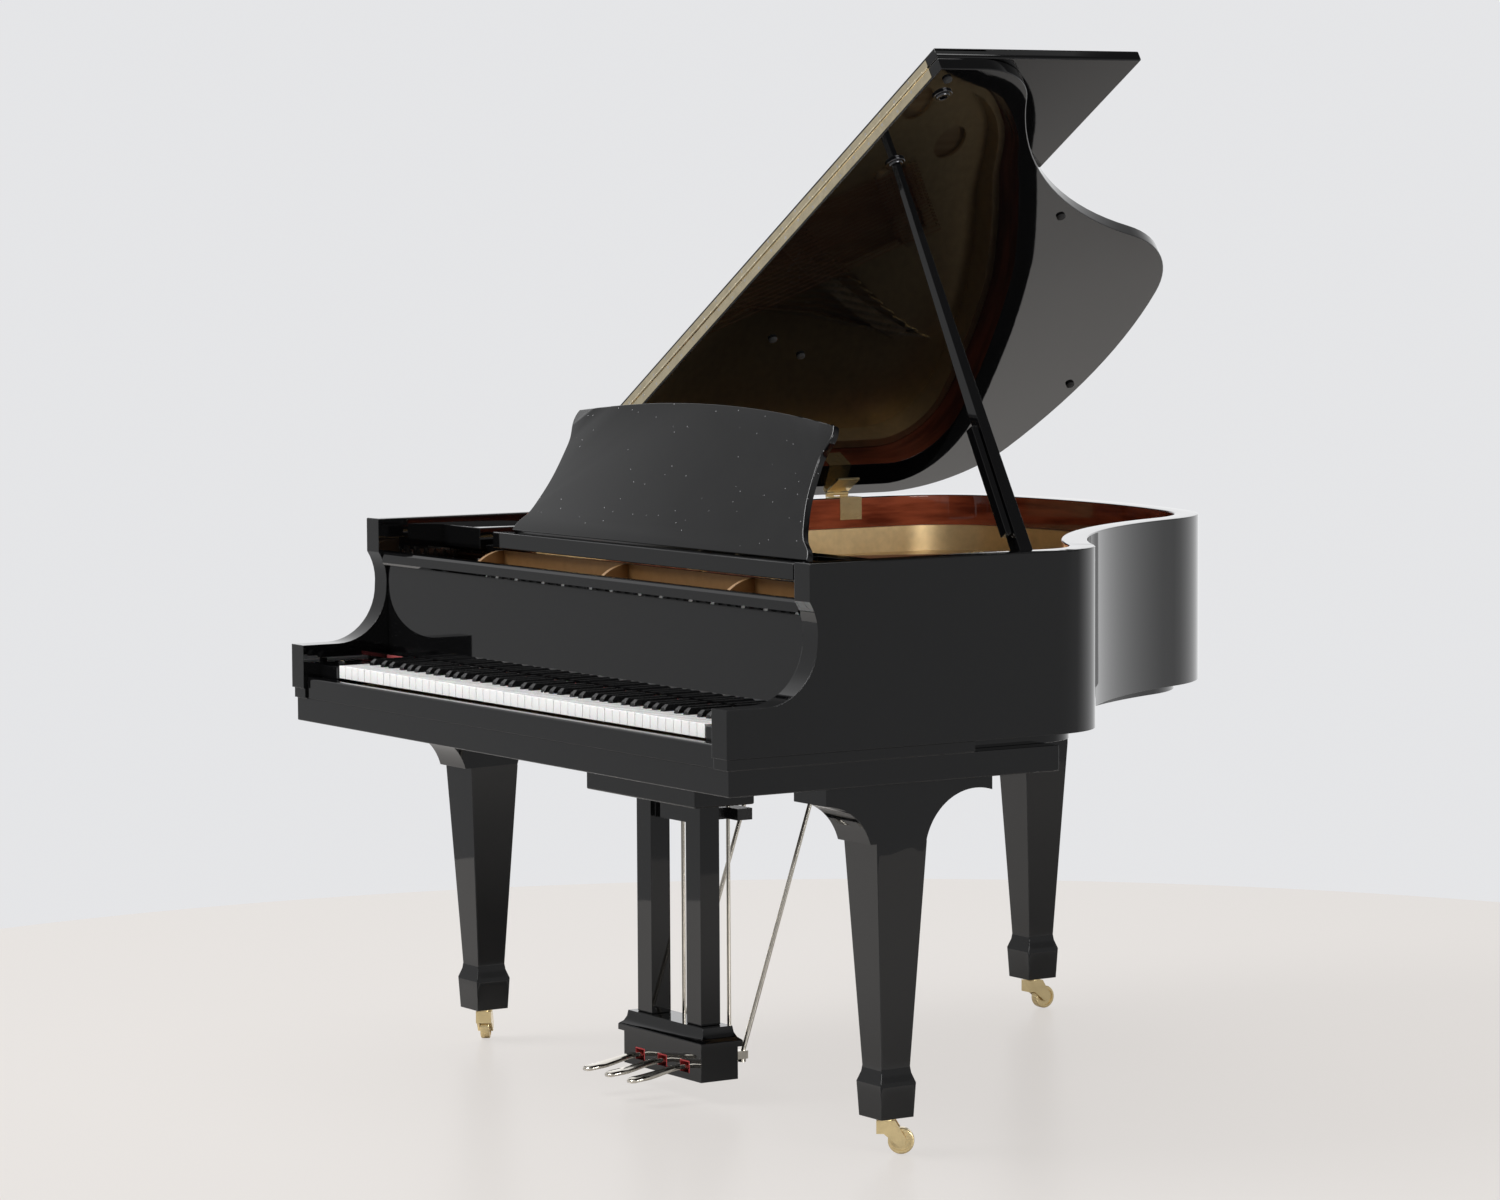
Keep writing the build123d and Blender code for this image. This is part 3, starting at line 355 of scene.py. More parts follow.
def soft_stuff(name, dark, light, scale, depth, sheen):
    """A dull fuzzy surface, clouded between two colours."""
    made, tree, shader = finish_named(name, light, 0.92, Sheen_Weight=sheen, Sheen_Roughness=0.5)
    fuzz = noise(tree, scale, detail=8.0)
    tree.links.new(ramp(tree, fuzz, (0.3, dark), (0.7, light)), shader.inputs["Base Color"])
    rough_surface(tree, shader, fuzz, 0.6, depth)
    return made


ivory_white = key_plastic()
ebony = lacquer("ebony", 0.24, 0.0)
felt = soft_stuff("felt", (0.55, 0.52, 0.46), (0.78, 0.75, 0.68), 700.0, 0.0008, 0.4)
red_felt = soft_stuff("red_felt", (0.26, 0.008, 0.01), (0.5, 0.022, 0.024), 800.0, 0.0006, 0.3)
rubber = soft_stuff("dark_rubber", (0.012, 0.012, 0.012), (0.025, 0.024, 0.024), 300.0, 0.0002, 0.0)
print("made", ivory_white.name, ebony.name, felt.name, red_felt.name, rubber.name)

# %% [markdown]
# Each CAD node takes its finish by the slot that its record names, and a few take one of their
# own.  Two small tables say it all, so a finish is changed in one place.

# %% Give every CAD node its finish
SLOT_FINISH = {
    "black_lacquer": black_lacquer, "mahogany": mahogany, "spruce": spruce, "beech": maple,
    "gold_iron": gold_iron, "brass": brass, "steel_wire": steel_wire, "copper_wire": copper_wire,
    "ivory_white": ivory_white, "ebony": ebony, "felt": felt, "red_felt": red_felt, "dark_rubber": rubber,
}
OWN_FINISH = {
    "inner_rim": black_lacquer, "trap_work": satin_black, "prop_cups": dark_chrome,
    "outer_rim": rim_lacquer, "music_desk": desk_lacquer, "lyre_braces": nickel, "desk_strut": pale_brass,
    "flap_hinge_lid_leaf": pale_brass, "flap_hinge_flap_leaf": pale_brass,
}
slot_of = {part["node"]: part["material_slot"] for part in frame["record"]["subparts"]}
for name, node in nodes.items():
    chosen = OWN_FINISH.get(name, SLOT_FINISH[slot_of[name]])
    if name.startswith("pedal_") and name != "pedal_box":
        chosen = nickel
    for place in node.material_slots:
        place.material = chosen
    if not node.material_slots:
        node.data.materials.append(chosen)
print("finished", len(nodes), "nodes")

# %% [markdown]
# ## Curves and edges
# The CAD solids come as loose flat triangles, and a mirror finish shows every one of them on a
# curve.  Finer triangles would help a little.  Welding them and shading them smoothly over their
# shallow edges makes a curve mirror the room as one curve, and leaves the shape as it is.

# %% Smooth shading by angle
def smooth_tree(angle):
    """Shades a mesh smooth, apart from the edges that turn by more than the angle."""
    tree = bpy.data.node_groups.new("smooth_by_angle", "GeometryNodeTree")
    tree.interface.new_socket("Geometry", in_out="INPUT", socket_type="NodeSocketGeometry")
    tree.interface.new_socket("Geometry", in_out="OUTPUT", socket_type="NodeSocketGeometry")
    given = add(tree, "NodeGroupInput")
    turn = add(tree, "GeometryNodeInputMeshEdgeAngle")
    steep = add(tree, "FunctionNodeCompare", {0: turn.outputs["Unsigned Angle"], 1: angle},
                operation="GREATER_THAN")
    faces = add(tree, "GeometryNodeSetShadeSmooth", {"Geometry": given.outputs[0], "Shade Smooth": True})
    edges = add(tree, "GeometryNodeSetShadeSmooth",
                {"Geometry": faces.outputs[0], "Selection": steep.outputs[0], "Shade Smooth": False},
                domain="EDGE")
    add(tree, "NodeGroupOutput", {"Geometry": edges.outputs[0]})
    return tree


SMOOTH = smooth_tree(math.radians(30))
for node in nodes.values():
    weld = node.modifiers.new("weld", "WELD")
    weld.merge_threshold = 0.00001
    node.modifiers.new("smooth", "NODES").node_group = SMOOTH
print("smoothed", len(nodes), "nodes")

# %% [markdown]
# No edge of a lacquered case is quite sharp: it is rubbed down before the last coat, and the
# thin round that is left catches the light.  The round could be cut in the CAD model, but it is
# far too thin for that, and a bevel of about a millimetre does the same here.  The rim keeps its
# edges and bends only their shading, because a bevel breaks on its many narrow faces.

# %% Ease the edges
EASED = {
    0.0012: ("key_bed", "lyre_frame", "pedal_box", "leg_left", "leg_right", "leg_rear", "music_rack"),
    0.0009: ("lid_main", "lid_flap", "key_slip", "music_desk", "long_prop", "short_prop"),
    0.0006: ("white_keys", "black_keys", "inner_rim", "rack_cleats", "key_blocks",
             "key_c4", "key_d4", "key_e4", "key_c_sharp4", "key_d_sharp4"),
}


def ease(node, width):
    """Rounds a solid's edges by a width that is far thinner than the solid."""
    bevel = node.modifiers.new("ease", "BEVEL")
    bevel.width = width
    bevel.segments = 2
    bevel.limit_method = "ANGLE"
    bevel.angle_limit = math.radians(40)
    bevel.harden_normals = True


for width, names in EASED.items():
    for name in names:
        ease(nodes[name], width)
print("edges eased")

# %% [markdown]
# ## Detail pieces
# The solids above carry the big shapes.  What follows makes the small repeated hardware as real
# meshes.  A closed skin through rings of points makes any turned, lofted or bent piece, and two
# Geometry Nodes trees repeat them: one runs wire along edges, the other sets a shape on points.

# %% Helpers for meshes
def skin(*bodies, sharp=35.0):
    """One mesh from closed skins, each a list of rings with the same number of points."""
    shape = bmesh.new()
    for rings in bodies:
        corners = [[shape.verts.new(point) for point in ring] for ring in rings]
        count = len(rings[0])
        for lower, upper in zip(corners, corners[1:]):
            for i in range(count):
                shape.faces.new((lower[i], lower[i - 1], upper[i - 1], upper[i]))
        shape.faces.new(corners[0])
        shape.faces.new(reversed(corners[-1]))
    bmesh.ops.recalc_face_normals(shape, faces=shape.faces)
    mesh = bpy.data.meshes.new("skin")
    shape.to_mesh(mesh)
    shape.free()
    mesh.shade_smooth()
    mesh.set_sharp_from_angle(angle=math.radians(sharp))
    return mesh


def turned(profile, sides=12):
    """The rings of a turned shape about Z, from (radius, height) pairs in millimetres."""
    rings = []
    for radius, height in profile:
        ring = []
        for i in range(sides):
            angle = 2 * math.pi * i / sides
            ring.append(Vector((radius * math.cos(angle), radius * math.sin(angle), height)) * 0.001)
        rings.append(ring)
    return rings


def moved(rings, spot):
    """Rings in metres about the origin, carried to a point."""
    return [[point + spot for point in ring] for ring in rings]


def squared(sections):
    """The rings of a box with varying width and depth: (half x, half y, z) in millimetres."""
    return [[Vector((x * half_x, y * half_y, z)) * 0.001 for x, y in ((-1, -1), (1, -1), (1, 1), (-1, 1))]
            for half_x, half_y, z in sections]


def piece(name, mesh, material, body):
    """Puts a finished mesh in the scene and lets it ride on a CAD body."""
    if material:
        mesh.materials.clear()
        mesh.materials.append(material)
    mesh.name = name
    made = bpy.data.objects.new(name, mesh)
    bpy.context.collection.objects.link(made)
    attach(made, body)
    return made


def open_tree(name, **inputs):
    """A Geometry Nodes tree with the named inputs; gives the tree and its input sockets."""
    tree = bpy.data.node_groups.new(name, "GeometryNodeTree")
    tree.interface.new_socket("Geometry", in_out="INPUT", socket_type="NodeSocketGeometry")
    for label, kind in inputs.items():
        tree.interface.new_socket(label, in_out="INPUT", socket_type="NodeSocket" + kind)
    tree.interface.new_socket("Geometry", in_out="OUTPUT", socket_type="NodeSocketGeometry")
    return tree, tree.nodes.new("NodeGroupInput").outputs


def close_tree(tree, geometry, finish):
    """Realizes what a tree has made, sets its material and sends it out."""
    real = add(tree, "GeometryNodeRealizeInstances", {"Geometry": geometry})
    painted = add(tree, "GeometryNodeSetMaterial", {"Geometry": real.outputs[0], "Material": finish})
    add(tree, "NodeGroupOutput", {"Geometry": painted.outputs[0]})


def wire_tree():
    """Runs a round wire along every edge of a mesh."""
    tree, given = open_tree("drawn_wire", Radius="Float", Sides="Int", Finish="Material")
    path = add(tree, "GeometryNodeMeshToCurve", {"Mesh": given["Geometry"]})
    ring = add(tree, "GeometryNodeCurvePrimitiveCircle",
               {"Radius": given["Radius"], "Resolution": given["Sides"]})
    tube = add(tree, "GeometryNodeCurveToMesh",
               {"Curve": path.outputs[0], "Profile Curve": ring.outputs[0], "Fill Caps": True})
    close_tree(tree, tube.outputs[0], given["Finish"])
    return tree


def scatter_tree():
    """Sets a shape on every point, its Z along the point's facing, spun by up to Spin about it."""
    tree, given = open_tree("set_on_points", Shape="Object", Spin="Float", Finish="Material")
    shape = add(tree, "GeometryNodeObjectInfo", {"Object": given["Shape"]})
    facing = add(tree, "GeometryNodeInputNamedAttribute", {"Name": "facing"}, data_type="FLOAT_VECTOR")
    aimed = add(tree, "FunctionNodeAlignRotationToVector", {"Vector": facing.outputs["Attribute"]}, axis="Z")
    placed = add(tree, "GeometryNodeInstanceOnPoints",
                 {"Points": given["Geometry"], "Rotation": aimed.outputs[0],
                  "Instance": shape.outputs["Geometry"]})
    most = add(tree, "ShaderNodeCombineXYZ", {"Z": given["Spin"]})
    spin = add(tree, "FunctionNodeRandomValue", {"Max": most.outputs[0], "Seed": 5}, data_type="FLOAT_VECTOR")
    spun = add(tree, "GeometryNodeRotateInstances",
               {"Instances": placed.outputs[0], "Rotation": spin.outputs[0]})
    close_tree(tree, spun.outputs[0], given["Finish"])
    return tree


DRAWN_WIRE, SET_ON_POINTS = wire_tree(), scatter_tree()


def grown(name, mesh, tree, body, **values):
    """Bakes a tree's work on a mesh into a plain piece that rides on a body."""
    carrier = bpy.data.objects.new(name + "_carrier", mesh)
    bpy.context.collection.objects.link(carrier)
    modifier = carrier.modifiers.new("grow", "NODES")
    modifier.node_group = tree
    for socket in tree.interface.items_tree:
        if socket.in_out == "INPUT" and socket.name in values:
            modifier[socket.identifier] = values[socket.name]
    graph = bpy.context.evaluated_depsgraph_get()
    result = bpy.data.meshes.new_from_object(carrier.evaluated_get(graph))
    bpy.data.objects.remove(carrier)
    result.shade_smooth()
    result.set_sharp_from_angle(angle=math.radians(35))
    return piece(name, result, None, body)


def wires(name, runs, diameter, material, body, sides=8):
    """Wire of one gauge along runs of points, given in metres."""
    mesh = bpy.data.meshes.new(name)
    points = [point for run in runs for point in run]
    edges = []
    first = 0
    for run in runs:
        edges += [(first + i, first + i + 1) for i in range(len(run) - 1)]
        first += len(run)
    mesh.from_pydata(points, edges, [])
    return grown(name, mesh, DRAWN_WIRE, body, Radius=diameter / 2000, Sides=sides, Finish=material)


def scattered(name, rings, spots, material, body, spin=0.0):
    """One shape on many (point, facing) spots."""
    shape = bpy.data.objects.new(name + "_shape", skin(*rings))
    bpy.context.collection.objects.link(shape)
    mesh = bpy.data.meshes.new(name)
    mesh.from_pydata([spot for spot, facing in spots], [], [])
    facings = mesh.attributes.new("facing", "FLOAT_VECTOR", "POINT")
    for item, (spot, facing) in zip(facings.data, spots):
        item.vector = facing
    made = grown(name, mesh, SET_ON_POINTS, body, Shape=shape, Spin=spin, Finish=material)
    bpy.data.objects.remove(shape)
    return made


X, Z = Vector((1, 0, 0)), Vector((0, 0, 1))
print("trees", DRAWN_WIRE.name, SET_ON_POINTS.name)

# %% [markdown]
# ### The strings
# Eight of the bass notes have one wound string and twelve have two, and every treble note has
# three plain ones, side by side.  Each leaves the coil on its own tuning pin, crosses the nut
# and the bridge, and ends on a hitch pin in the iron plate.  They could be drawn one by one, but a
# formula gives each note its place and length, and is the same as the CAD model's.

# %% Strings
NOTES, BASS_NOTES, SINGLES = 88, 20, 8
NUT = 412.0
PITCH = 12.8
BREAKS = {20: 58.0, 37: 13.0, 53: 13.0, 69: 13.0}
PIN_ROWS = (322.0, 347.0, 372.0)
PLATE_TOP = 866.0
BASS_LEVEL, TREBLE_LEVEL = 887.0, 876.0
TREBLE_SPREAD, BASS_SPREAD = 2.6, 2.0


def string_ends(note):
    """Where a note's strings cross the nut and where they end, in plan."""
    x = -605 + note * PITCH + sum(gap for first, gap in BREAKS.items() if note >= first)
    if note < BASS_NOTES:
        return Vector((x, NUT)), Vector((x + 400 - 4 * note, 1360 - 7 * note))
    length = 900 * 0.96 ** (note - BASS_NOTES) + 95
    lean = math.radians(9 * (NOTES - note) / (NOTES - BASS_NOTES))
    return Vector((x, NUT)), Vector((x - length * math.sin(lean), NUT + length * math.cos(lean)))


def offsets(note):
    """How far each string of a note stands from the note's middle."""
    if note < SINGLES:
        return (0.0,)
    if note < BASS_NOTES:
        return (-BASS_SPREAD, BASS_SPREAD)
    return (-TREBLE_SPREAD, 0.0, TREBLE_SPREAD)


bass_runs, treble_runs = [], []
pin_spots, hitch_spots, bridge_spots, stud_spots = [], [], [], []
for note in range(NOTES):
    start, end = string_ends(note)
    level = BASS_LEVEL if note < BASS_NOTES else TREBLE_LEVEL
    way = (end - start).normalized()
    across = Vector((way.y, -way.x))
    for number, offset in enumerate(offsets(note)):
        row = PIN_ROWS[(note + number) % 3]
        front = start + across * offset
        back = end + across * offset - way * 12 * number
        bridge = back - way * (75 - 12 * number)
        tail = at(front.x, row + 4.4, level)
        runs = bass_runs if note < BASS_NOTES else treble_runs
        runs.append([tail, at(front.x, front.y, level), at(*bridge, level), at(*back, level - 1.5)])
        pin_spots.append((at(front.x - 3.9, row, level), Z))
        hitch_spots.append((at(*back, PLATE_TOP - 2), Vector((way.x * 0.3, way.y * 0.3, 1.0))))
        bridge_spots.append((at(*(bridge - across * 0.8 - way * 7), level - 3), Z))
        bridge_spots.append((at(*(bridge + across * 0.8 + way * 7), level - 3), Z))
    if note >= BASS_NOTES:
        stud_spots.append((at(start.x, NUT + 7.0, PLATE_TOP - 1), Z))

bass_wire = wires("wound_strings", bass_runs, 2.6, copper_wire, "case", 8)
treble_wire = wires("plain_strings", treble_runs, 1.0, steel_wire, "case", 6)
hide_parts("bass_strings")
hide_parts("treble_strings")
print("strings", len(bass_runs), "wound and", len(treble_runs), "plain")

# %% [markdown]
# A tuning pin is a steel peg with three turns of wire wound round it and a squared head.  Hitch
# pins lean away from the pull, bridge pins stand in pairs either side of each string, and a brass
# stud holds each treble note down behind the nut.  There are hundreds of pins, so one small shape
# of each kind is set on points, and it has only as many faces as it needs.

# %% Pins and studs
peg = turned(((3.3, -14), (3.3, -2.6), (4.5, -1.8), (3.7, -1.2), (4.5, -0.6), (3.7, 0), (4.5, 0.6),
              (3.3, 1.5), (3.1, 5)), 8)
head = squared(((2.6, 2.6, 4.8), (2.4, 2.4, 11.0), (1.9, 1.9, 11.6)))
pins = scattered("tuning_pegs", (peg, head), pin_spots, steel_wire, "case", 0.9)
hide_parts("tuning_pins")
scattered("hitch_pins", (turned(((1.6, 0), (1.6, 11), (1.1, 12)), 6),), hitch_spots, brass, "case")
scattered("bridge_pins", (turned(((0.8, 0), (0.8, 5.4), (0.4, 5.9)), 5),), bridge_spots, brass, "case")
stud = turned(((3.9, 0), (3.9, 3.5), (2.8, 4.2), (2.8, 10.5), (3.4, 11.4), (3.4, 13.2), (2.4, 14.0)), 8)
scattered("agraffes", (stud,), stud_spots, brass, "case")
print("pins", len(pin_spots), "hitch", len(hitch_spots))
print("bridge", len(bridge_spots), "studs", len(stud_spots))

# %% [markdown]
# ### The action
# Each hammer is a maple moulding with a pear of pressed felt round its end, and each damper is a
# lacquered head on a wire with white felt below it.  They are made where the CAD model has its
# plain ones: just behind the nut, and a little further back.  The hammers differ in height and
# stand under their own strings, so a loop makes each one instead of a copy on a point.

# %% Hammers and dampers
STRIKE, DAMP = 26.0, 54.0
DAMPED_NOTES = 66
DAMPER_TOP = 898.5
RAIL_Y = 302
HAMMER_LOW = 822.0
FELT_TALL = 49.0
FELT_SECTIONS = ((3.2, 5.2, 0.0), (4.2, 8.4, 12.0), (4.5, 9.6, 26.0), (4.4, 8.4, 38.0),
                 (4.1, 5.6, 45.5), (3.6, 2.2, FELT_TALL))
hammer_felt, hammer_wood, damper_head, damper_felt, damper_wire = [], [], [], [], []
for note in range(NOTES):
    start, end = string_ends(note)
    level = BASS_LEVEL if note < BASS_NOTES else TREBLE_LEVEL
    way = (end - start).normalized()
    strike = start + way * STRIKE
    rise = level - TREBLE_LEVEL
    felt_body = squared([(x, y, HAMMER_LOW + z + rise * z / FELT_TALL) for x, y, z in FELT_SECTIONS])
    hammer_felt.append(moved(felt_body, at(strike.x, strike.y, 0)))
    shank = [[at(strike.x + x, y, z + dz) for x, dz in ((-2.3, -2.3), (2.3, -2.3), (2.3, 2.3), (-2.3, 2.3))]
             for y, z in ((RAIL_Y, HAMMER_LOW - 14), (strike.y - 14, HAMMER_LOW - 5),
                          (strike.y + 5, HAMMER_LOW - 3))]
    hammer_wood.append(shank)
    block = squared(((3.4, 5.5, HAMMER_LOW - 12), (3.8, 8.0, HAMMER_LOW), (3.4, 6.5, HAMMER_LOW + 6)))
    hammer_wood.append(moved(block, at(strike.x, strike.y, 0)))
    if note < DAMPED_NOTES:
        spot = start + way * DAMP
        here = at(spot.x, spot.y, 0)
        wedge = ((1.6, 9.5, level + 0.7), (4.2, 9.8, level + 4.5), (4.2, 9.8, level + 6))
        damper_felt.append(moved(squared(wedge), here))
        cap = ((4.4, 10, level + 6), (4.6, 10, level + 7), (4.6, 10, DAMPER_TOP),
               (3.9, 9.2, DAMPER_TOP + 0.9))
        damper_head.append(moved(squared(cap), here))
        damper_wire.append([at(spot.x + 6.0, spot.y, 780), at(spot.x + 6.0, spot.y, 895),
                            at(spot.x + 4.0, spot.y, 897)])

felts = piece("hammer_felts", skin(*hammer_felt, sharp=50), felt, "case")
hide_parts("hammers")
piece("hammer_shanks", skin(*hammer_wood), maple, "case")
heads = piece("damper_heads", skin(*damper_head), black_lacquer, "case")
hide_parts("dampers")
piece("damper_felts", skin(*damper_felt), felt, "case")
wires("damper_wires", damper_wire, 1.4, steel_wire, "case", 6)
print("hammers", len(hammer_felt), "dampers", len(damper_head))

# %% [markdown]
# ### Lid hardware
# The lid's pieces are placed on the shut lid, where they are easy to measure, and then turned up
# with it about its hinge line.  The flap's long hinge gets its knuckles, in turn the lid's and the
# flap's, and zig-zag screws.  Their heads are sunk, because the two leaves lie flat together when
# the flap is folded back.

# %% Lid hardware
LID_ANGLE = math.radians(31.8)
LID_PIVOT = (-731.0, 979.0)
LID_UNDER, LID_TOP = 982.94, 1004.94
FLAP_UNDER, FLAP_TOP = 1005.24, 1024.64
LID_FRONT = 560.0
LID_FROM, LID_TO = -720.0, 712.0
KNUCKLE, KNUCKLE_RADIUS = 24.0, 2.4
SCREW_STEP, ZIGZAG = 50, 2.6
LEAF_FACE = 0.2


def raise_direction(direction):
    """Turns a direction on the shut lid as the raised lid has it."""
    return Matrix.Rotation(-LID_ANGLE, 3, "Y") @ Vector(direction)


def raise_point(x, y, z):
    """Turns a point of the shut lid up about its hinge line, in metres."""
    pivot = at(LID_PIVOT[0], 0, LID_PIVOT[1])
    return pivot + raise_direction(at(x, y, z) - pivot)


def barrel(x, length, radius, sides=10):
    """The rings of a short rod along the flap's hinge line."""
    rings = []
    for place, share in ((x, 0.8), (x + 0.5, 1.0), (x + length - 0.5, 1.0), (x + length, 0.8)):
        ring = []
        for i in range(sides):
            angle = 2 * math.pi * i / sides
            ring.append(raise_point(place, LID_FRONT + radius * share * math.cos(angle),
                                    LID_TOP + radius * share * math.sin(angle)))
        rings.append(ring)
    return rings


knuckles = {"lid": [], "flap": []}
knuckle_count = int((LID_TO - LID_FROM) / KNUCKLE)
for i in range(knuckle_count):
    body = "lid" if i % 2 == 0 else "flap"
    knuckles[body].append(barrel(LID_FROM + i * KNUCKLE + 0.3, KNUCKLE - 0.6, KNUCKLE_RADIUS))
for body, rings in knuckles.items():
    piece("hinge_knuckles_" + body, skin(*rings), pale_brass, body)

screw = turned(((2.9, -0.4), (2.9, 0.02), (2.5, 0.1), (1.0, 0.12)), 12)
outward = raise_direction((0, -1, 0))
LEAF_MIDDLES = {"lid": (LID_UNDER + LID_TOP + 1.6) / 2, "flap": (LID_TOP + FLAP_TOP - 3.2) / 2}
for body, middle in LEAF_MIDDLES.items():
    spots = []
    for i in range(int((LID_TO - LID_FROM) / SCREW_STEP)):
        height = middle + (ZIGZAG if i % 2 else -ZIGZAG)
        spots.append((raise_point(LID_FROM + 20 + i * SCREW_STEP, LID_FRONT + LEAF_FACE, height), outward))
    scattered("hinge_screws_" + body, (screw,), spots, nickel, body, 3.0)
print("knuckles", knuckle_count)

# %% [markdown]
# Two turned cups in the lid can take a prop's tip, and the long prop stands in one of them.
# Rubber buttons keep the lid off the rim.  Both are round, so each is turned from a profile, as
# on a lathe.

# %% Cups and buttons
CUP_PLACES = ((1183, 635), (1391, 608))
BUTTON_PLACES = ((1006, 1097), (395, 1506), (594, 714), (532, 809), (1438, 590))


def lid_spot(s, y, down=0.0):
    """A point on the lid's underside, s measured from the spine edge, as the lid stands raised."""
    return raise_point(LID_PIVOT[0] + 6 + s, y, LID_UNDER - down)


under = raise_direction((0, 0, -1))
cup = turned(((16.0, 0), (17.0, 0.8), (17.0, 3.2), (16.2, 4.0), (12.4, 4.0), (12.0, 6.2), (11.3, 7.0),
              (7.6, 7.0), (6.6, 6.2), (6.2, 1.2)), 28)
cup_spots = [(lid_spot(s, y), under) for s, y in CUP_PLACES]
cups = scattered("cups", (cup,), cup_spots, dark_chrome, "lid")
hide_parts("prop_cups")
button = turned(((7.4, 0), (8.0, 0.7), (8.0, 3.4), (7.2, 5.0), (5.6, 5.9), (2.0, 6.0)), 20)
button_spots = [(lid_spot(s, y), under) for s, y in BUTTON_PLACES]
buttons = scattered("buttons", (button,), button_spots, rubber, "lid")
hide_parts("lid_buttons")
print("cups and buttons set")

# %% [markdown]
# ### Pedals and lyre
# A pedal is a cast and polished lever: a flat shank that widens into a rounded tread.  It could
# be sculpted from a subdivided box.  A skin through rounded sections, from the tip back into the
# box, keeps its sizes in one table.  Each slot in the box is lined with red felt.

# %% Pedals
PEDAL_X = {"left": -73.0, "middle": 0.0, "right": 73.0}
TREAD = ((217.4, 4.0, 43.5, 46.5), (219, 8.4, 42.2, 47.8), (224, 12.4, 42.8, 49.6), (231, 14.0, 43.9, 50.6),
         (242, 14.0, 44.8, 51.6), (254, 13.6, 45.8, 53.0), (268, 12.4, 48.0, 55.4), (284, 10.8, 51.0, 58.0),
         (302, 10.0, 54.6, 61.8), (318, 9.8, 57.0, 64.0), (431, 9.8, 57.0, 64.0))


def lever(x):
    """The rings of one pedal, eight points round each section."""
    rings = []
    for y, half, low, high in TREAD:
        edge = min(1.6, half * 0.3)
        middle = (low + high) / 2
        crown = 0.8
        rings.append([at(x + px, y, z) for px, z in (
            (-half + edge, low), (half - edge, low), (half, middle - 1), (half, middle + 1),
            (half - edge, high - crown * 0.4), (half * 0.4, high), (-half * 0.4, high),
            (-half + edge, high - crown * 0.4), (-half, middle + 1), (-half, middle - 1))])
    return rings


for name, x in PEDAL_X.items():
    made = piece("tread_" + name, skin(lever(x), sharp=50), nickel, "pedal_" + name)
    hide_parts("pedal_" + name)

SLOT_HALF, SLOT_LOW, SLOT_HIGH = 15.5, 50.0, 71.0
LINING = 2.2
linings = []
for x in PEDAL_X.values():
    outer = ((x - SLOT_HALF, SLOT_LOW), (x - SLOT_HALF, SLOT_HIGH),
             (x + SLOT_HALF, SLOT_HIGH), (x + SLOT_HALF, SLOT_LOW))
    inner = ((x - SLOT_HALF + LINING, SLOT_LOW), (x - SLOT_HALF + LINING, SLOT_HIGH - LINING),
             (x + SLOT_HALF - LINING, SLOT_HIGH - LINING), (x + SLOT_HALF - LINING, SLOT_LOW))
    linings.append([[at(ox, 331.4, oz), at(ix, 330.6, iz), at(ix, 360, iz), at(ox, 360, oz)]
                    for (ox, oz), (ix, iz) in zip(outer, inner)])
piece("slot_linings", skin(*linings), red_felt, "case")
print("pedals", len(PEDAL_X))

# %% [markdown]
# ### Small turned fittings
# A brass knob holds down each key block, and a nickel pivot carries each end of the fallboard.
# Both are small and round, so one turned skin each is enough, set on two points that mirror each
# other.

# %% Small turned fittings
SIDES = (-1, 1)
KNOB_PLACE = (648, 60, 713.6)
PIVOT_Y, PIVOT_Z = 189, 747
ARM_THICK = 44

knob = turned(((4.6, 0), (4.6, 1.2), (2.6, 2.2), (2.6, 3.6), (4.8, 4.8), (5.6, 6.4), (5.0, 7.8),
               (2.6, 8.6)), 16)
knob_spots = [(at(side * KNOB_PLACE[0], KNOB_PLACE[1], KNOB_PLACE[2]), Z) for side in SIDES]
scattered("block_knobs", (knob,), knob_spots, brass, "case")
pivot = turned(((6.0, -0.4), (6.0, 0.8), (5.0, 1.4), (3.0, 1.4), (2.6, 0.8)), 18)
inner_half = HALF_WIDTH * 1000 - ARM_THICK
pivot_spots = [(at(side * inner_half, PIVOT_Y, PIVOT_Z), X * -side) for side in SIDES]
scattered("fallboard_pivots", (pivot,), pivot_spots, nickel, "case")
print("small fittings set")

# %% [markdown]
# ## Floor, backdrop and light
# The instrument stands on a round pale platform, in front of a paler wall.  A floor that is only
# painted goes as bright or dark as the lamps make it.  Part of this one is an even colour that
# only the camera sees, so that it stays pale and still takes a soft shadow.

# %% Floor and backdrop
def pale_floor(name, paint, seen, share):
    """A satin floor; the camera sees part of it as an even pale colour, the rest with its shadows."""
    made, tree, shader = finish_named(name, paint, 0.3)
    rough_surface(tree, shader, noise(tree, 3.0), 0.02, 0.002)
    even = add(tree, "ShaderNodeEmission", {"Color": (*seen, 1.0)})
    path = add(tree, "ShaderNodeLightPath")
    part = add(tree, "ShaderNodeMath", {0: path.outputs["Is Camera Ray"], 1: share}, operation="MULTIPLY")
    mixed = add(tree, "ShaderNodeMixShader", {0: part.outputs[0], 1: shader.outputs[0], 2: even.outputs[0]})
    tree.links.new(mixed.outputs[0], tree.nodes["Material Output"].inputs["Surface"])
    return made


def flat_disc(name, centre, radius, material):
    """A flat round face that belongs to the stage and not to the instrument."""
    mesh = bpy.data.meshes.new(name)
    shape = bmesh.new()
    bmesh.ops.create_circle(shape, cap_ends=True, segments=256, radius=radius,
                            matrix=Matrix.Translation(centre))
    shape.to_mesh(mesh)
    shape.free()
    mesh.materials.append(material)
    made = bpy.data.objects.new(name, mesh)
    bpy.context.collection.objects.link(made)
    return made


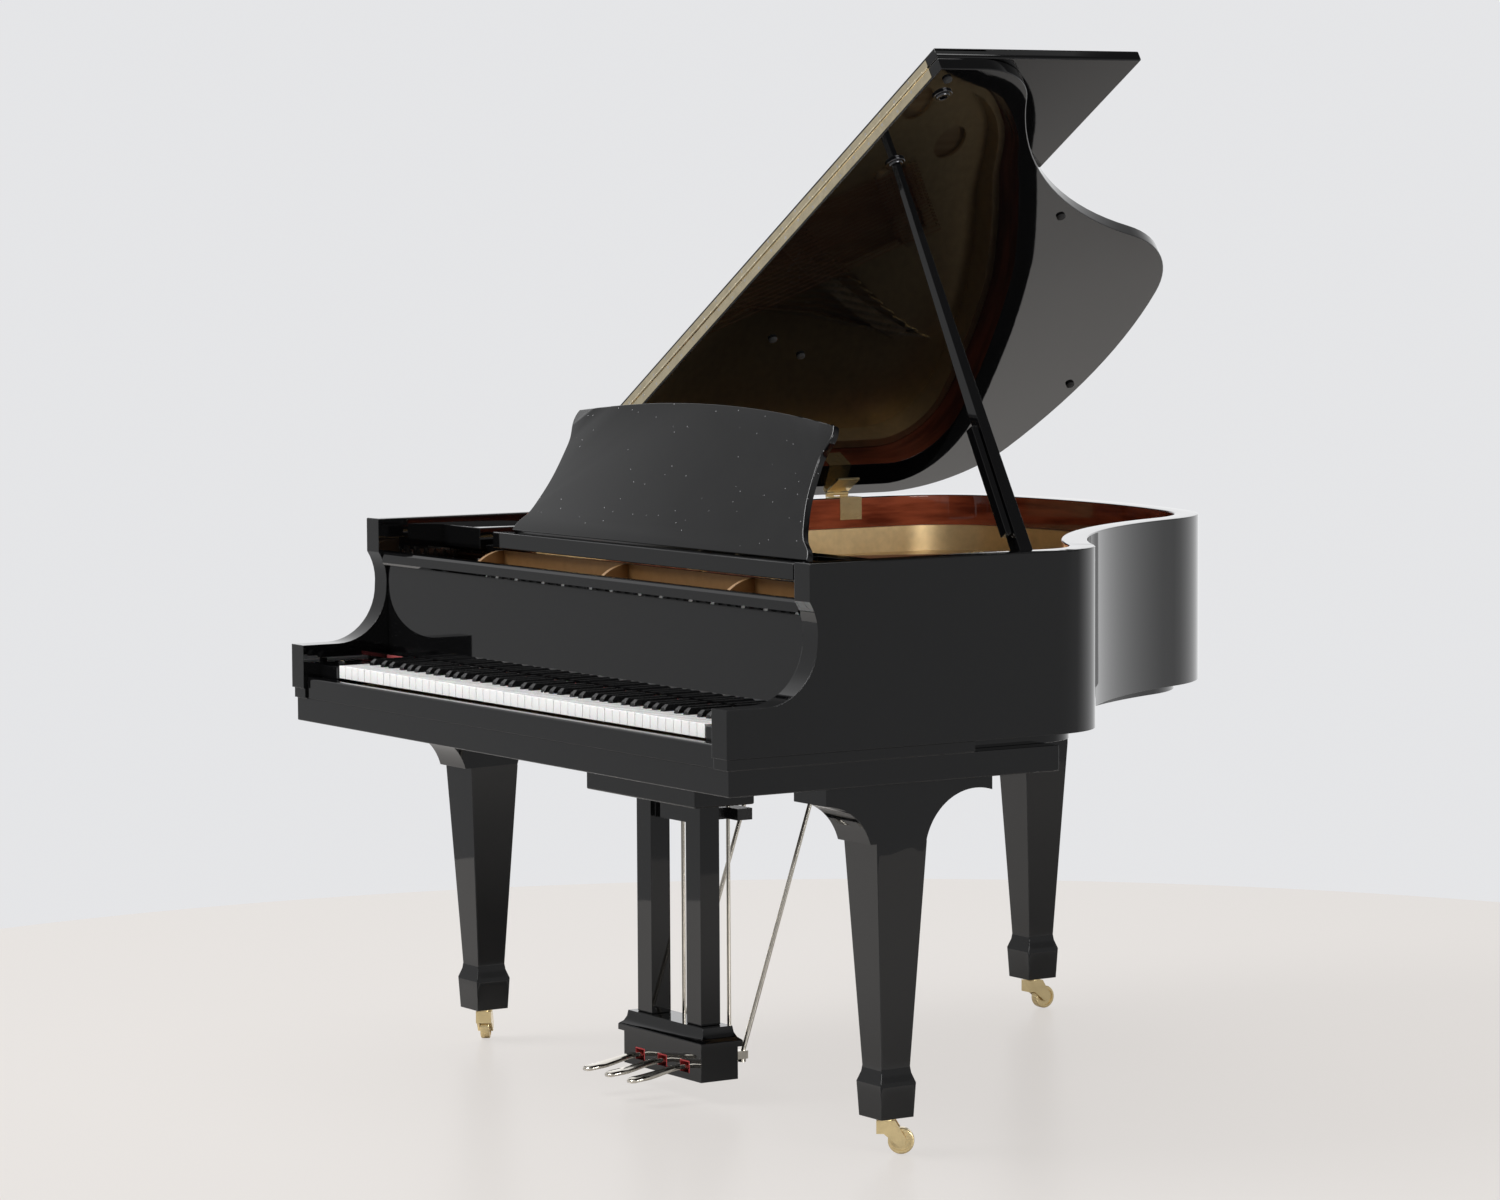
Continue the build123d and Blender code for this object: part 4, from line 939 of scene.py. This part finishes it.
PLATFORM_MIDDLE, PLATFORM_RADIUS = (160, 650, -1), 2.67
PLATFORM_PAINT, PLATFORM_SEEN, SEEN_SHARE = (0.55, 0.53, 0.51), (0.775, 0.742, 0.715), 0.78

platform_paint = pale_floor("platform_paint", PLATFORM_PAINT, PLATFORM_SEEN, SEEN_SHARE)
flat_disc("platform", at(*PLATFORM_MIDDLE), PLATFORM_RADIUS, platform_paint)
print("floor laid")

# %% [markdown]
# Black lacquer shows little but what it mirrors, so the room matters more than the lamps.  It is
# brightest on the wall behind the tail, which the curved side mirrors at a slant, dim overhead
# and even elsewhere.  Two large lamps stand overhead and in front, on the bass side, so that the
# lid shades the inside of the case, and a weaker one on the treble side reaches the far inner rim.
# An image of a studio could light it too, but a few nodes say plainly what shines from where.
# The camera itself sees a plain wall.

# %% Room and lights
WALL = (0.783, 0.787, 0.802, 1.0)
ROOM_TINT = (0.985, 0.99, 1.0, 1.0)
BRIGHT_WALL, CEILING = (-0.72, 0.69, 0.0), (0.0, 0.4, 0.92)
ROOM_LEVEL, BRIGHT_LEVEL, CEILING_SHARE = 0.43, 1.15, 0.2


def room():
    """A soft world light that varies with direction, behind a plain wall colour."""
    world = bpy.data.worlds.new("studio")
    bpy.context.scene.world = world
    world.use_nodes = True
    tree = world.node_tree
    background = tree.nodes["Background"]
    background.inputs["Color"].default_value = ROOM_TINT
    direction = add(tree, "ShaderNodeTexCoord").outputs["Generated"]
    toward = add(tree, "ShaderNodeVectorMath", {0: direction, 1: BRIGHT_WALL}, operation="DOT_PRODUCT")
    level = add(tree, "ShaderNodeMapRange", {"Value": toward.outputs["Value"], "From Min": 0.35,
                                             "From Max": 0.97, "To Min": ROOM_LEVEL, "To Max": BRIGHT_LEVEL})
    above = add(tree, "ShaderNodeVectorMath", {0: direction, 1: CEILING}, operation="DOT_PRODUCT")
    dim = add(tree, "ShaderNodeMapRange", {"Value": above.outputs["Value"], "From Min": 0.45,
                                           "From Max": 0.85, "To Min": 1.0, "To Max": CEILING_SHARE})
    strength = add(tree, "ShaderNodeMath", {0: level.outputs[0], 1: dim.outputs[0]},
                   operation="MULTIPLY")
    tree.links.new(strength.outputs[0], background.inputs["Strength"])
    seen = add(tree, "ShaderNodeBackground", {"Color": WALL, "Strength": 1.0})
    path = add(tree, "ShaderNodeLightPath")
    mixed = add(tree, "ShaderNodeMixShader", {0: path.outputs["Is Camera Ray"]})
    tree.links.new(background.outputs[0], mixed.inputs[1])
    tree.links.new(seen.outputs[0], mixed.inputs[2])
    tree.links.new(mixed.outputs[0], tree.nodes["World Output"].inputs["Surface"])


def soft_light(name, spot, aim, width, height, power):
    """A large flat lamp at one point of the case frame, turned towards another."""
    light = bpy.data.lights.new(name, "AREA")
    light.shape = "RECTANGLE"
    light.size = width
    light.size_y = height
    light.energy = power
    made = bpy.data.objects.new(name, light)
    bpy.context.collection.objects.link(made)
    made.location = at(*spot)
    made.rotation_mode = "QUATERNION"
    made.rotation_quaternion = (at(*aim) - at(*spot)).to_track_quat("-Z", "Y")
    return made


room()
soft_light("overhead", (-1600, 300, 6000), (-300, 500, 0), 7.0, 7.0, 350)
soft_light("front_bank", (-2400, -4300, 6000), (0, 300, 500), 4.0, 3.0, 470)
soft_light("treble_wall", (6500, 1500, 2000), (-600, 1000, 900), 3.6, 1.6, 200)
bpy.context.scene.view_settings.view_transform = "Standard"
print("lights set")
